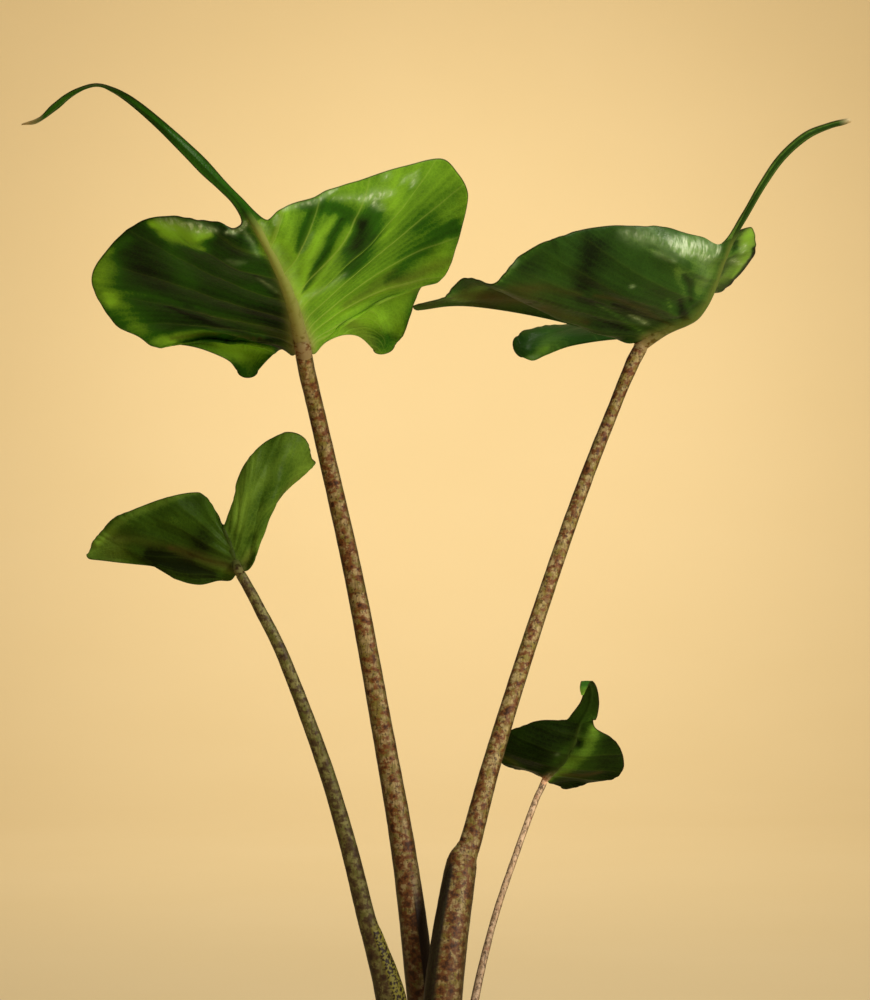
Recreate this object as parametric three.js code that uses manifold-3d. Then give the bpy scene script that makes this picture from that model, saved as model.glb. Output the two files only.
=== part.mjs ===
// Potted stingray alocasia: four long-tailed leaves on mottled stems, in a plain pot of soil.
// Millimetres, +Z up, the pot stands on z = 0 with its axis on the origin.
// Each leaf is shown from below, so its under face looks towards -Y.
import * as THREE from 'three';
import { mergeVertices } from 'three/addons/utils/BufferGeometryUtils.js';
import Module from 'manifold-3d';

// Pot
const POT_HEIGHT = 140;
const POT_BASE_RADIUS = 50;
const POT_RIM_RADIUS = 75;
const POT_WALL = 4;
const POT_FLOOR = 6;
const POT_EDGE = 2;
const POT_SIDES = 48;
const DRAIN_RADIUS = 4;
const DRAIN_DISTANCE = 28;
const DRAIN_COUNT = 4;

// Soil
const SOIL_LEVEL = 124;
const SOIL_RINGS = 7;
const SOIL_MOUND = 2.4;
const SOIL_LUMP = 0.8;
const SEAT_GAP = 0.3;
const STEM_CLEARANCE = 0.5;
const STEM_FOOT = 96;

// Leaves
const BLADE_THICKNESS = 1.0;
const CELLS_ACROSS = 6;
const RINGS_PER_STATION = 2;
const RINGS_PER_ROW = 2;
const EDGE_WAVE = 0.9;
const VEIN_RELIEF = 0.5;
const RIB_SINK = 0.35;
const RIB_SIDES = 10;
const STEM_SIDES = 14;
const STEM_DEPTH = 0.92;
const JOINT_GAP = 0.3;

// A blade is two halves that share the midrib. Stations count from the base of the tail to the
// tips of the rear lobes; at the junction the stem meets the midrib and the halves part.
//   midrib, sinus:  [station, x, y, z]
//   edge:           [station, x, y, z, bow], bow lifting the middle towards the upper face
//   tail:           [x, y, z, half-width x, y, z, half-thickness], tip first
const LEAVES = [
  {
    name: 'tall_left',
    color: 0x4f8a1e,
    midrib: [[9, -93.5, -86, 613.5], [12, -81, -49, 589.5], [14, -75, -25, 573], [16, -72, -8, 559.5],
      [18, -70, 0, 550.5]],
    ribRadius: [2.0, 4.6],
    joint: { at: [-69.3, -2.5, 545.5], heading: [-0.15, -0.42, 0.9] },
    tail: [[-213.5, -104, 663, 0.6, -1, 0.3, 0.5], [-204.5, -110, 664.5, 1.1, -3, 1.3, 0.8],
      [-195.5, -115, 671, -0.9, -3, 1.0, 0.9], [-186, -119, 677.5, -0.4, -3, 0.8, 0.9],
      [-174, -123, 681.5, 0.3, -4, 0.1, 0.9], [-164.5, -124, 679, 0.8, -3.5, 0.7, 1.0],
      [-154.5, -123, 673, 1.3, -2, 1.4, 1.0], [-140, -120, 661, 1.8, -1, 1.9, 1.1],
      [-125, -114, 647, 2.3, 0, 2.6, 1.1], [-117, -109, 639, 2.4, 0, 2.7, 1.2],
      [-109, -103, 631, 1.9, 0.5, 2.2, 1.4], [-101.5, -96, 623.5, 2.0, 1, 2.1, 1.7]],
    left: {
      edge: [[9, -99.5, -88, 613, 0], [10, -105, -84, 610, -2], [11, -113, -86, 612.5, -5],
        [13, -137, -78, 617, -9], [15, -164, -56, 609.5, -5], [17, -184, -26, 586.5, 1],
        [19, -174, -2, 564.5, 6], [20, -162.5, 8, 556.5, 6], [21, -151, 14, 549.5, 5],
        [22, -137.5, 16, 553, 3], [23, -120, 19, 547.5, 1], [24, -104, 21, 534.5, 0]],
      sinus: [[19, -75, 4, 546.5], [20, -81, 9, 549.5], [22, -93, 18, 540.5], [24, -100, 21, 534.5]],
    },
    right: {
      edge: [[9, -87, -84, 614.5, 0], [10, -80, -84, 619.5, -2], [12, -47.5, -76, 633.5, -8],
        [14, 3.5, -60, 648, -6], [15, 14.5, -50, 642.5, 0], [16, 20.5, -40, 629.5, 5],
        [18, 12, -12, 596, 8], [19, 4.5, -3, 586.5, 6], [20, -3.5, 4, 584, 4],
        [22, -14, 20, 560, 2], [23, -18.5, 25, 551, 1], [24, -25, 28, 547, 0]],
      sinus: [[19, -65, 4, 547], [20, -57.5, 10, 553.5], [21, -48, 16, 557.5], [22, -40, 22, 557],
        [24, -28.5, 28, 548]],
    },
  },
  {
    name: 'tall_right',
    color: 0x3f7423,
    midrib: [[6, 171.5, 72, 615.5], [8, 165, 80, 601], [10, 159.5, 88, 585.5], [12, 151.5, 96, 573],
      [14, 140, 103, 568], [16, 125.5, 109, 561.5]],
    ribRadius: [1.8, 4.0],
    joint: { at: [121, 109.5, 553], heading: [0.48, 0.15, 0.86] },
    tail: [[236.5, 49, 679.5, 0.6, 0, -1.1, 0.8], [232, 49.5, 678.5, 0.5, 1.0, -1.4, 1.3],
      [224, 51, 676.5, 0.8, 1, -1.4, 1.4], [211.5, 53, 671, 1.4, 1, -1.7, 1.5],
      [198, 56, 659, 1.9, 1, -1.2, 1.6], [187, 60, 643, 1.8, 1, -0.9, 1.6],
      [178, 66, 627, 1.8, 1, -0.7, 1.7]],
    left: {
      edge: [[6, 165, 67, 611, 0], [7, 153.5, 52, 613.5, -4], [9, 122.5, 31, 619.5, -12],
        [12, 73, 17, 613, -12], [14, 51, 18, 601.5, -8], [16, 36.5, 23, 587.5, -4],
        [17, 31, 26, 586, -2], [19, 18, 31, 590, 2], [21, 9, 37, 579.5, 2],
        [22, 3.5, 39, 578.5, 1], [24, -9, 43, 575, 0]],
      sinus: [[17, 115, 106, 556.5], [18, 100.5, 98, 561.5], [20, 59.5, 76, 570.5],
        [22, 19.5, 56, 575.5], [24, -7, 45, 572.5]],
    },
    right: {
      edge: [[6, 174.5, 74, 618, 0], [8, 184.5, 92, 622, 4], [9, 186.5, 106, 615.5, 6],
        [10, 187.5, 120, 607.5, 7], [11, 183.5, 136, 599, 8], [13, 165, 164, 588, 8],
        [15, 137, 184, 594, 8], [17, 105, 188, 586.5, 6], [19, 86, 179, 572, 3],
        [22, 59, 165, 567.5, 1], [23, 51.5, 160, 564, 0], [24, 50.5, 156, 557.5, 0]],
      sinus: [[17, 117.5, 114, 557], [18, 109.5, 122, 559.5], [20, 83.5, 138, 556.5],
        [22, 67.5, 150, 551], [24, 55, 155, 550]],
    },
  },
  {
    name: 'low_left',
    color: 0x3f6b22,
    midrib: [[4, -112, -27, 450], [6, -109.5, -27, 444.5], [8, -107, -26, 436],
      [10, -104.5, -25.5, 429]],
    ribRadius: [1.4, 2.6],
    joint: { at: [-102.5, -31.5, 425.5], heading: [-0.5, -0.05, 0.86] },
    tail: [[-147, 58, 439, 0, 0, 1.7, 0.5], [-140.5, 46, 442, 0, 0, 2.2, 0.9],
      [-132.5, 32, 445, 0, 0, 2.5, 1.0], [-123.5, 13, 448.5, 0.6, -1, 2.5, 1.1],
      [-116.5, -5, 450.5, 1.2, -1, 2.2, 1.2], [-112.5, -20, 450.5, 1.8, -1, 1.6, 1.4]],
    left: {
      edge: [[4, -113, -27, 451.5, 0], [5, -115.5, -26, 459, -1], [6, -119.5, -24, 466, -3],
        [7, -126.5, -22, 470, -5], [9, -143, -18, 467.5, -8], [11, -160.5, -12, 461.5, -7],
        [13, -174.5, -6, 455, -4], [16, -185.5, 0, 442.5, -1], [18, -188, -1, 436.5, 0]],
      sinus: [[11, -108, -25, 422.5], [12, -115.5, -26, 422], [13, -125.5, -27, 420],
        [14, -137, -25, 422.5], [15, -148, -20, 429], [16, -162.5, -14, 431], [18, -186, -4, 433.5]],
    },
    right: {
      edge: [[4, -111.5, -27, 452, 0], [6, -107, -27, 466, -3], [8, -102, -25, 483, -5],
        [10, -92.5, -22, 495.5, -6], [12, -78, -18, 503, -4], [14, -67.5, -15, 499, -2],
        [16, -65, -13, 489.5, 0], [17, -62, -12, 486, 0], [18, -64.5, -11, 483.5, 0]],
      sinus: [[11, -99.5, -26, 427.5], [12, -92.5, -30, 432.5], [13, -93, -27, 441],
        [14, -92.5, -22, 448.5], [16, -82, -15, 467.5], [18, -67.5, -10, 482.5]],
    },
  },
  {
    name: 'low_right',
    color: 0x2c5218,
    midrib: [[6, 85, 72, 338.5], [8, 81, 78, 325.5], [10, 74.5, 85, 315], [12, 66, 93, 307.5]],
    ribRadius: [1.0, 1.8],
    joint: { at: [65, 90.5, 304], heading: [0.4, 0.25, 0.88] },
    tail: [[85.5, 46, 356.5, 0.6, 0, 0, 0.5], [86, 44, 360.5, 2.0, 0, 0, 0.7],
      [88, 48, 364, 3.1, 1, 0, 0.8], [90.5, 58, 360, 3.7, 1, 0, 0.8],
      [90.5, 66, 352, 5.3, 1, 0, 0.9], [88, 70, 345, 7.3, 1, 0, 1.0],
      [86, 71, 341.5, 8.2, 0, 0, 1.0]],
    left: {
      edge: [[6, 75.5, 72, 339, 0], [8, 59.5, 72, 339, -2], [10, 44.5, 76, 334, -4],
        [11, 39.5, 81, 328, -3], [12, 38.5, 87, 320.5, 0], [13, 41.5, 92, 316, 1],
        [14, 46, 96, 313.5, 1], [16, 55.5, 101, 313, 0]],
      sinus: [[13, 63.5, 97, 307.5], [14, 61, 99, 309], [16, 57, 102, 312.5]],
    },
    right: {
      edge: [[6, 92.5, 70, 341, 0], [7, 94.5, 72, 336, -1], [9, 106.5, 79, 328, -3],
        [11, 111, 89, 314.5, -2], [12, 108, 94, 309, 0], [14, 92.5, 101, 304.5, 1],
        [16, 79, 106, 300.5, 0]],
      sinus: [[13, 68, 97, 304], [14, 70.5, 100, 303], [16, 75.5, 104, 301]],
    },
  },
];

// Stems from the soil up: [x, y, z, half-width, groove], each ending at its leaf's joint.
const STEMS = [
  {
    leaf: 'tall_left',
    color: 0x8a6f4a,
    path: [[1, 16, 131, 8.6, 0.1], [-0.5, 16, 150, 8.5, 0.25], [-4.5, 18, 189, 8.2, 0.3],
      [-14, 21, 266, 6.9, 0.2], [-26.5, 24, 338, 5.9, 0.12], [-42, 22, 421.5, 5.2, 0.1],
      [-60.5, 14, 504.5, 4.6, 0.08]],
    top: 4.6,
  },
  {
    leaf: 'tall_right',
    color: 0x85694b,
    path: [[4.5, -14, 131, 10.9, 0.1], [5.5, -10, 160, 10.8, 0.3], [7.5, -6, 194.5, 10.4, 0.35],
      [11, 0, 224, 9.8, 0.35], [16.5, 12, 258.5, 8.7, 0.35], [18, 14, 266.5, 8.1, 0.3],
      [20.5, 16, 272, 6.6, 0.2], [23, 18, 278.5, 6.0, 0.15], [35, 32, 321, 5.2, 0.12],
      [56.5, 56, 387, 4.5, 0.1], [84.5, 84, 466, 4.0, 0.1], [107.5, 103, 523.5, 3.6, 0.08]],
    top: 4.0,
  },
  {
    leaf: 'low_left',
    color: 0x6f6a3c,
    path: [[-16.5, -2, 131, 9.6, 0.1], [-18.5, -5, 164, 9.0, 0.3], [-22, -8, 194.5, 8.1, 0.35],
      [-31, -10, 225, 5.7, 0.3], [-34.5, -11, 236, 5.1, 0.2], [-45.5, -15, 280.5, 4.6, 0.12],
      [-58.5, -19, 324, 4.1, 0.1], [-79, -25, 379, 3.4, 0.1], [-92, -28, 406, 3.1, 0.08]],
    top: 2.8,
  },
  {
    leaf: 'low_right',
    color: 0x9a7d68,
    path: [[16, 10, 131, 2.5, 0], [20, 20, 161, 2.5, 0.1], [25.5, 32, 190, 2.3, 0.1],
      [36, 50, 230, 1.9, 0.1], [49.5, 68, 267.5, 1.8, 0.08], [60, 83, 294, 1.8, 0.06]],
    top: 1.8,
  },
];

const wasm = await Module();
wasm.setup();

const vector = (p) => new THREE.Vector3(p[0], p[1], p[2]);

/** A smooth curve through rows of [station, ...values], as a function of the station. */
function curveThrough(rows) {
  const last = rows.length - 1;
  const slopes = rows.map((row, i) => {
    const before = rows[Math.max(i - 1, 0)];
    const after = rows[Math.min(i + 1, last)];
    return row.map((_, k) => (after[k] - before[k]) / (after[0] - before[0]));
  });
  return (station) => {
    let i = 0;
    while (i < last - 1 && station > rows[i + 1][0]) {
      i += 1;
    }
    const span = rows[i + 1][0] - rows[i][0];
    const t = (station - rows[i][0]) / span;
    const values = rows[i].map((from, k) => {
      const to = rows[i + 1][k];
      return from * (1 - t) ** 2 * (1 + 2 * t) + to * t * t * (3 - 2 * t)
        + span * t * (1 - t) * (slopes[i][k] * (1 - t) - slopes[i + 1][k] * t);
    });
    return values.slice(1);
  };
}

/** A closed mesh facing out, from points and triangles that close on themselves. */
function closedMesh(points, triangles) {
  let volume = 0;
  for (const [a, b, c] of triangles) {
    volume += points[a].dot(new THREE.Vector3().crossVectors(points[b], points[c]));
  }
  const facing = volume < 0 ? triangles.map(([a, b, c]) => [a, c, b]) : triangles;
  return new wasm.Manifold(new wasm.Mesh({
    numProp: 3,
    vertProperties: new Float32Array(points.flatMap((p) => [p.x, p.y, p.z])),
    triVerts: new Uint32Array(facing.flat()),
  }));
}

/** The closed mesh of a three.js geometry whose seams are merged. */
function solidOf(geometry) {
  const bare = new THREE.BufferGeometry();
  bare.setAttribute('position', geometry.getAttribute('position'));
  if (geometry.index) {
    bare.setIndex(geometry.index);
  }
  const merged = mergeVertices(bare, 1e-4);
  const position = merged.getAttribute('position');
  const points = [];
  for (let i = 0; i < position.count; i += 1) {
    points.push(new THREE.Vector3().fromBufferAttribute(position, i));
  }
  const triangles = [];
  for (let i = 0; i < merged.index.count; i += 3) {
    const [a, b, c] = [0, 1, 2].map((k) => merged.index.getX(i + k));
    if (a !== b && b !== c && c !== a) {
      triangles.push([a, b, c]);
    }
  }
  return closedMesh(points, triangles);
}

/**
 * A closed tube along rings of { centre, across, thick, groove }: across is the half-width
 * vector, thick the half-thickness at right angles, groove the depth of a dent along the back.
 */
function sweep(rings, sides) {
  const points = [];
  const triangles = [];
  const last = rings.length - 1;
  rings.forEach((ring, i) => {
    const way = rings[Math.min(i + 1, last)].centre.clone().sub(rings[Math.max(i - 1, 0)].centre);
    way.normalize();
    const width = ring.across.length();
    const across = ring.across.clone().addScaledVector(way, -ring.across.dot(way));
    across.setLength(width);
    const deep = new THREE.Vector3().crossVectors(way, across).setLength(ring.thick);
    for (let k = 0; k < sides; k += 1) {
      const angle = (2 * Math.PI * k) / sides;
      const dent = 1 - (ring.groove ?? 0) * Math.max(0, Math.sin(angle)) ** 6;
      points.push(ring.centre.clone()
        .addScaledVector(across, Math.cos(angle))
        .addScaledVector(deep, Math.sin(angle) * dent));
    }
  });
  for (let i = 0; i < last; i += 1) {
    for (let k = 0; k < sides; k += 1) {
      const next = (k + 1) % sides;
      const [a, b] = [i * sides + k, i * sides + next];
      triangles.push([a, b, b + sides], [a, b + sides, a + sides]);
    }
  }
  for (let k = 1; k < sides - 1; k += 1) {
    triangles.push([0, k + 1, k]);
    triangles.push([last * sides, last * sides + k, last * sides + k + 1]);
  }
  return closedMesh(points, triangles);
}

/** Curves of one leaf, ready to be read at any station. */
function leafCurves(leaf) {
  const junctionRow = leaf.midrib[leaf.midrib.length - 1];
  const half = (side, sign) => ({
    sign,
    edge: curveThrough(side.edge),
    sinus: curveThrough([junctionRow, ...side.sinus]),
  });
  return {
    first: leaf.midrib[0][0],
    junction: junctionRow[0],
    last: leaf.left.edge[leaf.left.edge.length - 1][0],
    midrib: curveThrough(leaf.midrib),
    halves: [half(leaf.left, -1), half(leaf.right, 1)],
  };
}

/** The point of a half blade at a station, a share of the way from the midrib to the edge. */
function bladePoint(curves, half, station, share) {
  const line = (s, t) => {
    const inner = vector(s <= curves.junction ? curves.midrib(s) : half.sinus(s));
    return inner.lerp(vector(half.edge(s)), t);
  };
  const step = 0.25;
  const before = line(Math.max(station - step, curves.first), 0.5);
  const along = line(Math.min(station + step, curves.last), 0.5).sub(before);
  const across = line(station, 1).sub(line(station, 0));
  const upper = new THREE.Vector3().crossVectors(across, along).multiplyScalar(half.sign).normalize();
  const reach = Math.min(1, across.length() / 20);
  const bow = half.edge(station)[3] * 4 * share * (1 - share);
  const wave = EDGE_WAVE * share ** 4 * Math.sin(1.9 * station) * reach;
  const vein = -VEIN_RELIEF * Math.cos(2 * Math.PI * station) * Math.sin(Math.PI * share) * reach;
  return line(station, share).addScaledVector(upper, bow + wave + vein);
}

/** The two half blades as one thin closed body, split alike on both faces. */
function bladeSheet(curves) {
  const rings = Math.round((curves.last - curves.first) * RINGS_PER_STATION);
  const points = [];
  const triangles = [];
  const shared = [];
  for (const half of curves.halves) {
    const rows = [];
    for (let i = 0; i <= rings; i += 1) {
      const station = curves.first + i / RINGS_PER_STATION;
      const row = [];
      for (let j = 0; j <= CELLS_ACROSS; j += 1) {
        const onMidrib = j === 0 && station <= curves.junction;
        if (onMidrib && shared[i] !== undefined) {
          row.push(shared[i]);
        } else {
          points.push(bladePoint(curves, half, station, j / CELLS_ACROSS));
          row.push(points.length - 1);
          if (onMidrib) {
            shared[i] = points.length - 1;
          }
        }
      }
      rows.push(row);
    }
    for (let i = 0; i < rings; i += 1) {
      for (let j = 0; j < CELLS_ACROSS; j += 1) {
        const [a, b, c, d] = [rows[i][j], rows[i + 1][j], rows[i + 1][j + 1], rows[i][j + 1]];
        triangles.push(...(half.sign > 0 ? [[a, b, c], [a, c, d]] : [[a, c, b], [a, d, c]]));
      }
    }
  }
  return thicken(points, triangles, BLADE_THICKNESS / 2);
}

/** An open sheet given a thickness: both faces and a rim along every open edge. */
function thicken(points, triangles, half) {
  const normals = points.map(() => new THREE.Vector3());
  const edges = new Map();
  for (const [a, b, c] of triangles) {
    const face = new THREE.Vector3().crossVectors(
      points[b].clone().sub(points[a]), points[c].clone().sub(points[a]));
    for (const [from, to] of [[a, b], [b, c], [c, a]]) {
      normals[from].add(face);
      edges.set(`${from} ${to}`, [from, to]);
    }
  }
  const count = points.length;
  const body = [
    ...points.map((p, i) => p.clone().addScaledVector(normals[i].normalize(), half)),
    ...points.map((p, i) => p.clone().addScaledVector(normals[i], -half)),
  ];
  const faces = [...triangles, ...triangles.map(([a, b, c]) => [a + count, c + count, b + count])];
  for (const [from, to] of edges.values()) {
    if (!edges.has(`${to} ${from}`)) {
      faces.push([to, from, from + count], [to, from + count, to + count]);
    }
  }
  return closedMesh(body, faces);
}

/** The midrib and the tail as one tapered body, from the tip of the tail down to the joint. */
function ribAndTail(leaf, curves) {
  const [thin, full] = leaf.ribRadius;
  const [left, right] = curves.halves;
  const spread = (station) => vector(right.edge(station)).sub(vector(left.edge(station)));
  const rows = leaf.tail.map((row, i) => [i, ...row]);
  const base = [...curves.midrib(curves.first), ...spread(curves.first).divideScalar(3), thin];
  rows.push([rows.length, ...base]);
  const tail = curveThrough(rows);
  const rings = [];
  for (let i = 0; i <= RINGS_PER_ROW * (rows.length - 1); i += 1) {
    const row = tail(i / RINGS_PER_ROW);
    rings.push({ centre: vector(row), across: vector(row.slice(3)), thick: row[6] });
  }
  for (let station = curves.first + 1; station < curves.junction; station += 1) {
    const centre = vector(curves.midrib(station));
    const across = spread(station).normalize();
    const along = vector(curves.midrib(station + 0.5)).sub(centre);
    const under = new THREE.Vector3().crossVectors(along, across).normalize();
    const share = (station - curves.first) / (curves.junction - curves.first);
    const radius = THREE.MathUtils.lerp(thin, full, share);
    rings.push({
      centre: centre.addScaledVector(under, radius * RIB_SINK),
      across: across.multiplyScalar(radius),
      thick: radius,
    });
  }
  const at = vector(leaf.joint.at);
  const heading = vector(leaf.joint.heading).normalize();
  const across = rings[rings.length - 1].across;
  rings.push({ centre: at.clone().addScaledVector(heading, full), across, thick: full });
  rings.push({ centre: at.clone().addScaledVector(heading, JOINT_GAP / 2), across, thick: full });
  return sweep(rings, RIB_SIDES);
}

/** A stem from its foot in the soil to the joint under its leaf, straight at both ends. */
function stemSolid(stem, joint) {
  const [x, y, , foot] = stem.path[0];
  const at = vector(joint.at);
  const heading = vector(joint.heading).normalize();
  const below = at.clone().addScaledVector(heading, -2 * stem.top);
  const end = at.clone().addScaledVector(heading, -JOINT_GAP / 2);
  const ringOf = ([cx, cy, cz, width, groove], depth) => ({
    centre: new THREE.Vector3(cx, cy, cz),
    across: new THREE.Vector3(width, 0, 0),
    thick: width * depth,
    groove: Math.max(0, groove),
  });
  const rows = [...stem.path, [...below.toArray(), stem.top, 0]];
  const curve = curveThrough(rows.map((row, i) => [i, ...row]));
  const rings = [ringOf([x, y, STEM_FOOT, foot, 0], 1), ringOf([x, y, SOIL_LEVEL, foot, 0], 1)];
  for (let i = 0; i <= RINGS_PER_ROW * (rows.length - 1); i += 1) {
    rings.push(ringOf(curve(i / RINGS_PER_ROW), i > 0 ? STEM_DEPTH : 1));
  }
  rings.push(ringOf([...end.toArray(), stem.top, 0], 1));
  return sweep(rings, STEM_SIDES);
}

/** Height of the soil above its level, a low mound with lumps. */
function soilRise(x, y) {
  const mound = SOIL_MOUND * Math.exp(-(x * x + y * y) / 1200);
  const lumps = Math.sin(0.31 * x + 1.1) * Math.cos(0.27 * y) + Math.sin(0.19 * x - 0.33 * y);
  return mound + SOIL_LUMP * lumps;
}

function potSolid() {
  const slope = (POT_RIM_RADIUS - POT_BASE_RADIUS) / POT_HEIGHT;
  const inner = (z) => POT_BASE_RADIUS - POT_WALL + slope * z;
  const profile = [
    [0, 0], [POT_BASE_RADIUS - POT_EDGE, 0], [POT_BASE_RADIUS, POT_EDGE],
    [POT_RIM_RADIUS, POT_HEIGHT - POT_EDGE],
    [POT_RIM_RADIUS - POT_WALL / 2, POT_HEIGHT],
    [inner(POT_HEIGHT - POT_EDGE), POT_HEIGHT - POT_EDGE],
    [inner(POT_FLOOR), POT_FLOOR], [0, POT_FLOOR],
  ].map(([r, z]) => new THREE.Vector2(r, z));
  let pot = solidOf(new THREE.LatheGeometry(profile, POT_SIDES).rotateX(Math.PI / 2));
  for (let i = 0; i < DRAIN_COUNT; i += 1) {
    const angle = (2 * Math.PI * (i + 0.5)) / DRAIN_COUNT;
    const drain = new THREE.CylinderGeometry(DRAIN_RADIUS, DRAIN_RADIUS, 4 * POT_FLOOR, 16);
    drain.rotateX(Math.PI / 2);
    drain.translate(DRAIN_DISTANCE * Math.cos(angle), DRAIN_DISTANCE * Math.sin(angle), 0);
    pot = pot.subtract(solidOf(drain));
  }
  return pot;
}

function soilSolid() {
  const slope = (POT_RIM_RADIUS - POT_BASE_RADIUS) / POT_HEIGHT;
  const inner = (z) => POT_BASE_RADIUS - POT_WALL - SEAT_GAP + slope * z;
  const bottom = POT_FLOOR + SEAT_GAP;
  const profile = [[0, bottom], [inner(bottom), bottom], [inner(SOIL_LEVEL), SOIL_LEVEL]];
  for (let i = 1; i < SOIL_RINGS; i += 1) {
    profile.push([inner(SOIL_LEVEL) * (1 - i / SOIL_RINGS), SOIL_LEVEL]);
  }
  profile.push([0, SOIL_LEVEL]);
  const body = new THREE.LatheGeometry(profile.map(([r, z]) => new THREE.Vector2(r, z)), POT_SIDES);
  body.rotateX(Math.PI / 2);
  const position = body.getAttribute('position');
  for (let i = 0; i < position.count; i += 1) {
    const [x, y, z] = [position.getX(i), position.getY(i), position.getZ(i)];
    const fade = Math.min(1, (inner(SOIL_LEVEL) - Math.hypot(x, y)) / POT_WALL);
    if (z > SOIL_LEVEL - 1) {
      position.setZ(i, z + Math.max(0, fade) * soilRise(x, y));
    }
  }
  let soil = solidOf(body);
  for (const stem of STEMS) {
    const [x, y, , foot] = stem.path[0];
    const radius = foot + STEM_CLEARANCE;
    const depth = SOIL_LEVEL + 20 - (STEM_FOOT - SEAT_GAP);
    const hole = new THREE.CylinderGeometry(radius, radius, depth, 24).rotateX(Math.PI / 2);
    hole.translate(x, y, STEM_FOOT - SEAT_GAP + depth / 2);
    soil = soil.subtract(solidOf(hole));
  }
  return soil;
}

/** A named mesh from a closed body. */
function node(name, solid, color, roughness) {
  const mesh = solid.getMesh();
  const geometry = new THREE.BufferGeometry();
  geometry.setAttribute('position', new THREE.BufferAttribute(Float32Array.from(mesh.vertProperties), 3));
  geometry.setIndex(new THREE.BufferAttribute(Uint32Array.from(mesh.triVerts), 1));
  geometry.computeVertexNormals();
  const material = new THREE.MeshStandardMaterial({ color, roughness, metalness: 0 });
  const piece = new THREE.Mesh(geometry, material);
  piece.name = name;
  return piece;
}

const plant = new THREE.Group();
plant.name = 'potted_stingray_alocasia';
plant.add(node('pot', potSolid(), 0xd9d2c4, 0.6));
plant.add(node('soil', soilSolid(), 0x3a2b20, 0.95));
for (const leaf of LEAVES) {
  const curves = leafCurves(leaf);
  const blade = bladeSheet(curves).add(ribAndTail(leaf, curves));
  plant.add(node(`blade_${leaf.name}`, blade, leaf.color, 0.35));
}
for (const stem of STEMS) {
  const leaf = LEAVES.find((one) => one.name === stem.leaf);
  plant.add(node(`stem_${stem.leaf}`, stemSolid(stem, leaf.joint), stem.color, 0.5));
}

export default plant;
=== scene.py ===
import math

import bmesh
import bpy
import numpy as np
from mathutils import Matrix, Vector


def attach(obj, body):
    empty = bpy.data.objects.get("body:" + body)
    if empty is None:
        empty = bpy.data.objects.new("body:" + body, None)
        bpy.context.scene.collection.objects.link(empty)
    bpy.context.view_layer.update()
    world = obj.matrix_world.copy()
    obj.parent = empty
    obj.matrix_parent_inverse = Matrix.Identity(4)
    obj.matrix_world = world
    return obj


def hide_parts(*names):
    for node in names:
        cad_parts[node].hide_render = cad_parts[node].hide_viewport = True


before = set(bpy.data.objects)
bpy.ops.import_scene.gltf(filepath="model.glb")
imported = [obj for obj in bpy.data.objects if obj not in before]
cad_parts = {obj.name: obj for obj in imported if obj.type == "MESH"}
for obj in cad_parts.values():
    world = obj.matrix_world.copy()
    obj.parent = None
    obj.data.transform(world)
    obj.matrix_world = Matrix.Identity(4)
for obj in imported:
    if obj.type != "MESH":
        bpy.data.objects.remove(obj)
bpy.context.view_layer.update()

MM = 0.001

# Pot
POT_HEIGHT = 140
POT_BASE_RADIUS = 50
POT_RIM_RADIUS = 75
POT_SLOPE = (POT_RIM_RADIUS - POT_BASE_RADIUS) / POT_HEIGHT
POT_WALL = 4
POT_FLOOR = 6
POT_SIDES = 160
POT_RING_STEP = 6
POT_SHARP_ANGLE = 40
DRAIN_RADIUS = 4
DRAIN_DISTANCE = 28
DRAIN_COUNT = 4
DRAIN_SIDES = 40

# Soil
SOIL_LEVEL = 124
SOIL_MOUND = 2.4
SOIL_MOUND_SPREAD = 1200  # square mm
SOIL_LUMP = 0.8
SOIL_PIT = 0.35
SOIL_GAP = 0.3
SOIL_RINGS = 60
SOIL_SIDES = 180
SOIL_FOOT = 96  # where the stalks begin, inside the soil

# Leaves
BLADE_THICKNESS = 0.9
MARGIN_THICKNESS = 0.45
MARGIN_TAPER = 2.5  # way in from the edge to the full thickness
RINGS_PER_STATION = 10
CELLS_ACROSS = 70
LOBE_TIP = 0.96
LOBE_ROUND = 0.7
EDGE_WAVE = 0.9
EDGE_RIPPLE = 0.22
FULL_WIDTH = 20  # a half narrower than this has less relief
SKIN_LUMP = 0.35
QUILT_REACH = 5.0
VEIN_STEPS = 60
VEIN_HEIGHT = 0.45
VEIN_WIDTH = 1.3
VEIN_RIDGE_END = 1.3  # less 1, the strength that a vein keeps at its end
VEIN_COLOR_END = 1.35
OUTER_FAN = 1.3  # stations from the first or last vein to the end of the fan
DRY_TIP = 2.2  # stations from the tail's tip over which it turns green
PATCH_SLIM = 0.4  # how much a patch narrows towards the ends of its path
FILLET = 0.8  # this and the next three to the radius of the midrib
FILLET_REACH = 1.5
RIB_COLOR_REACH = 1.45
STALK_COLOR_REACH = 1.1
RIB_SINK = 0.35
RIB_SIDES = 28
RIB_STEPS = 6
TAIL_RIB = 0.8  # radius of the midrib in the tail, to its half-thickness
JOINT_OVERLAP = 1.2

# Stalks
STEM_SIDES = 56
STEM_STEPS = 26
STEM_DEPTH = 0.92
STEM_RIBS = 16.0
STEM_RIB_HEIGHT = 0.012  # to its radius at the top
STEM_LUMP = 0.5

# Studio
PAPER_CURVE = 2600
PAPER_FLOOR = 3600
PAPER_EDGE = (6200, 3600)
PAPER_DROP = -0.5  # the floor lies just under the pot

# Camera, its spot in metres
LENS = 144
SENSOR = 36
CAMERA_SPOT = (0.00275, -2.2, 0.466)

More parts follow.
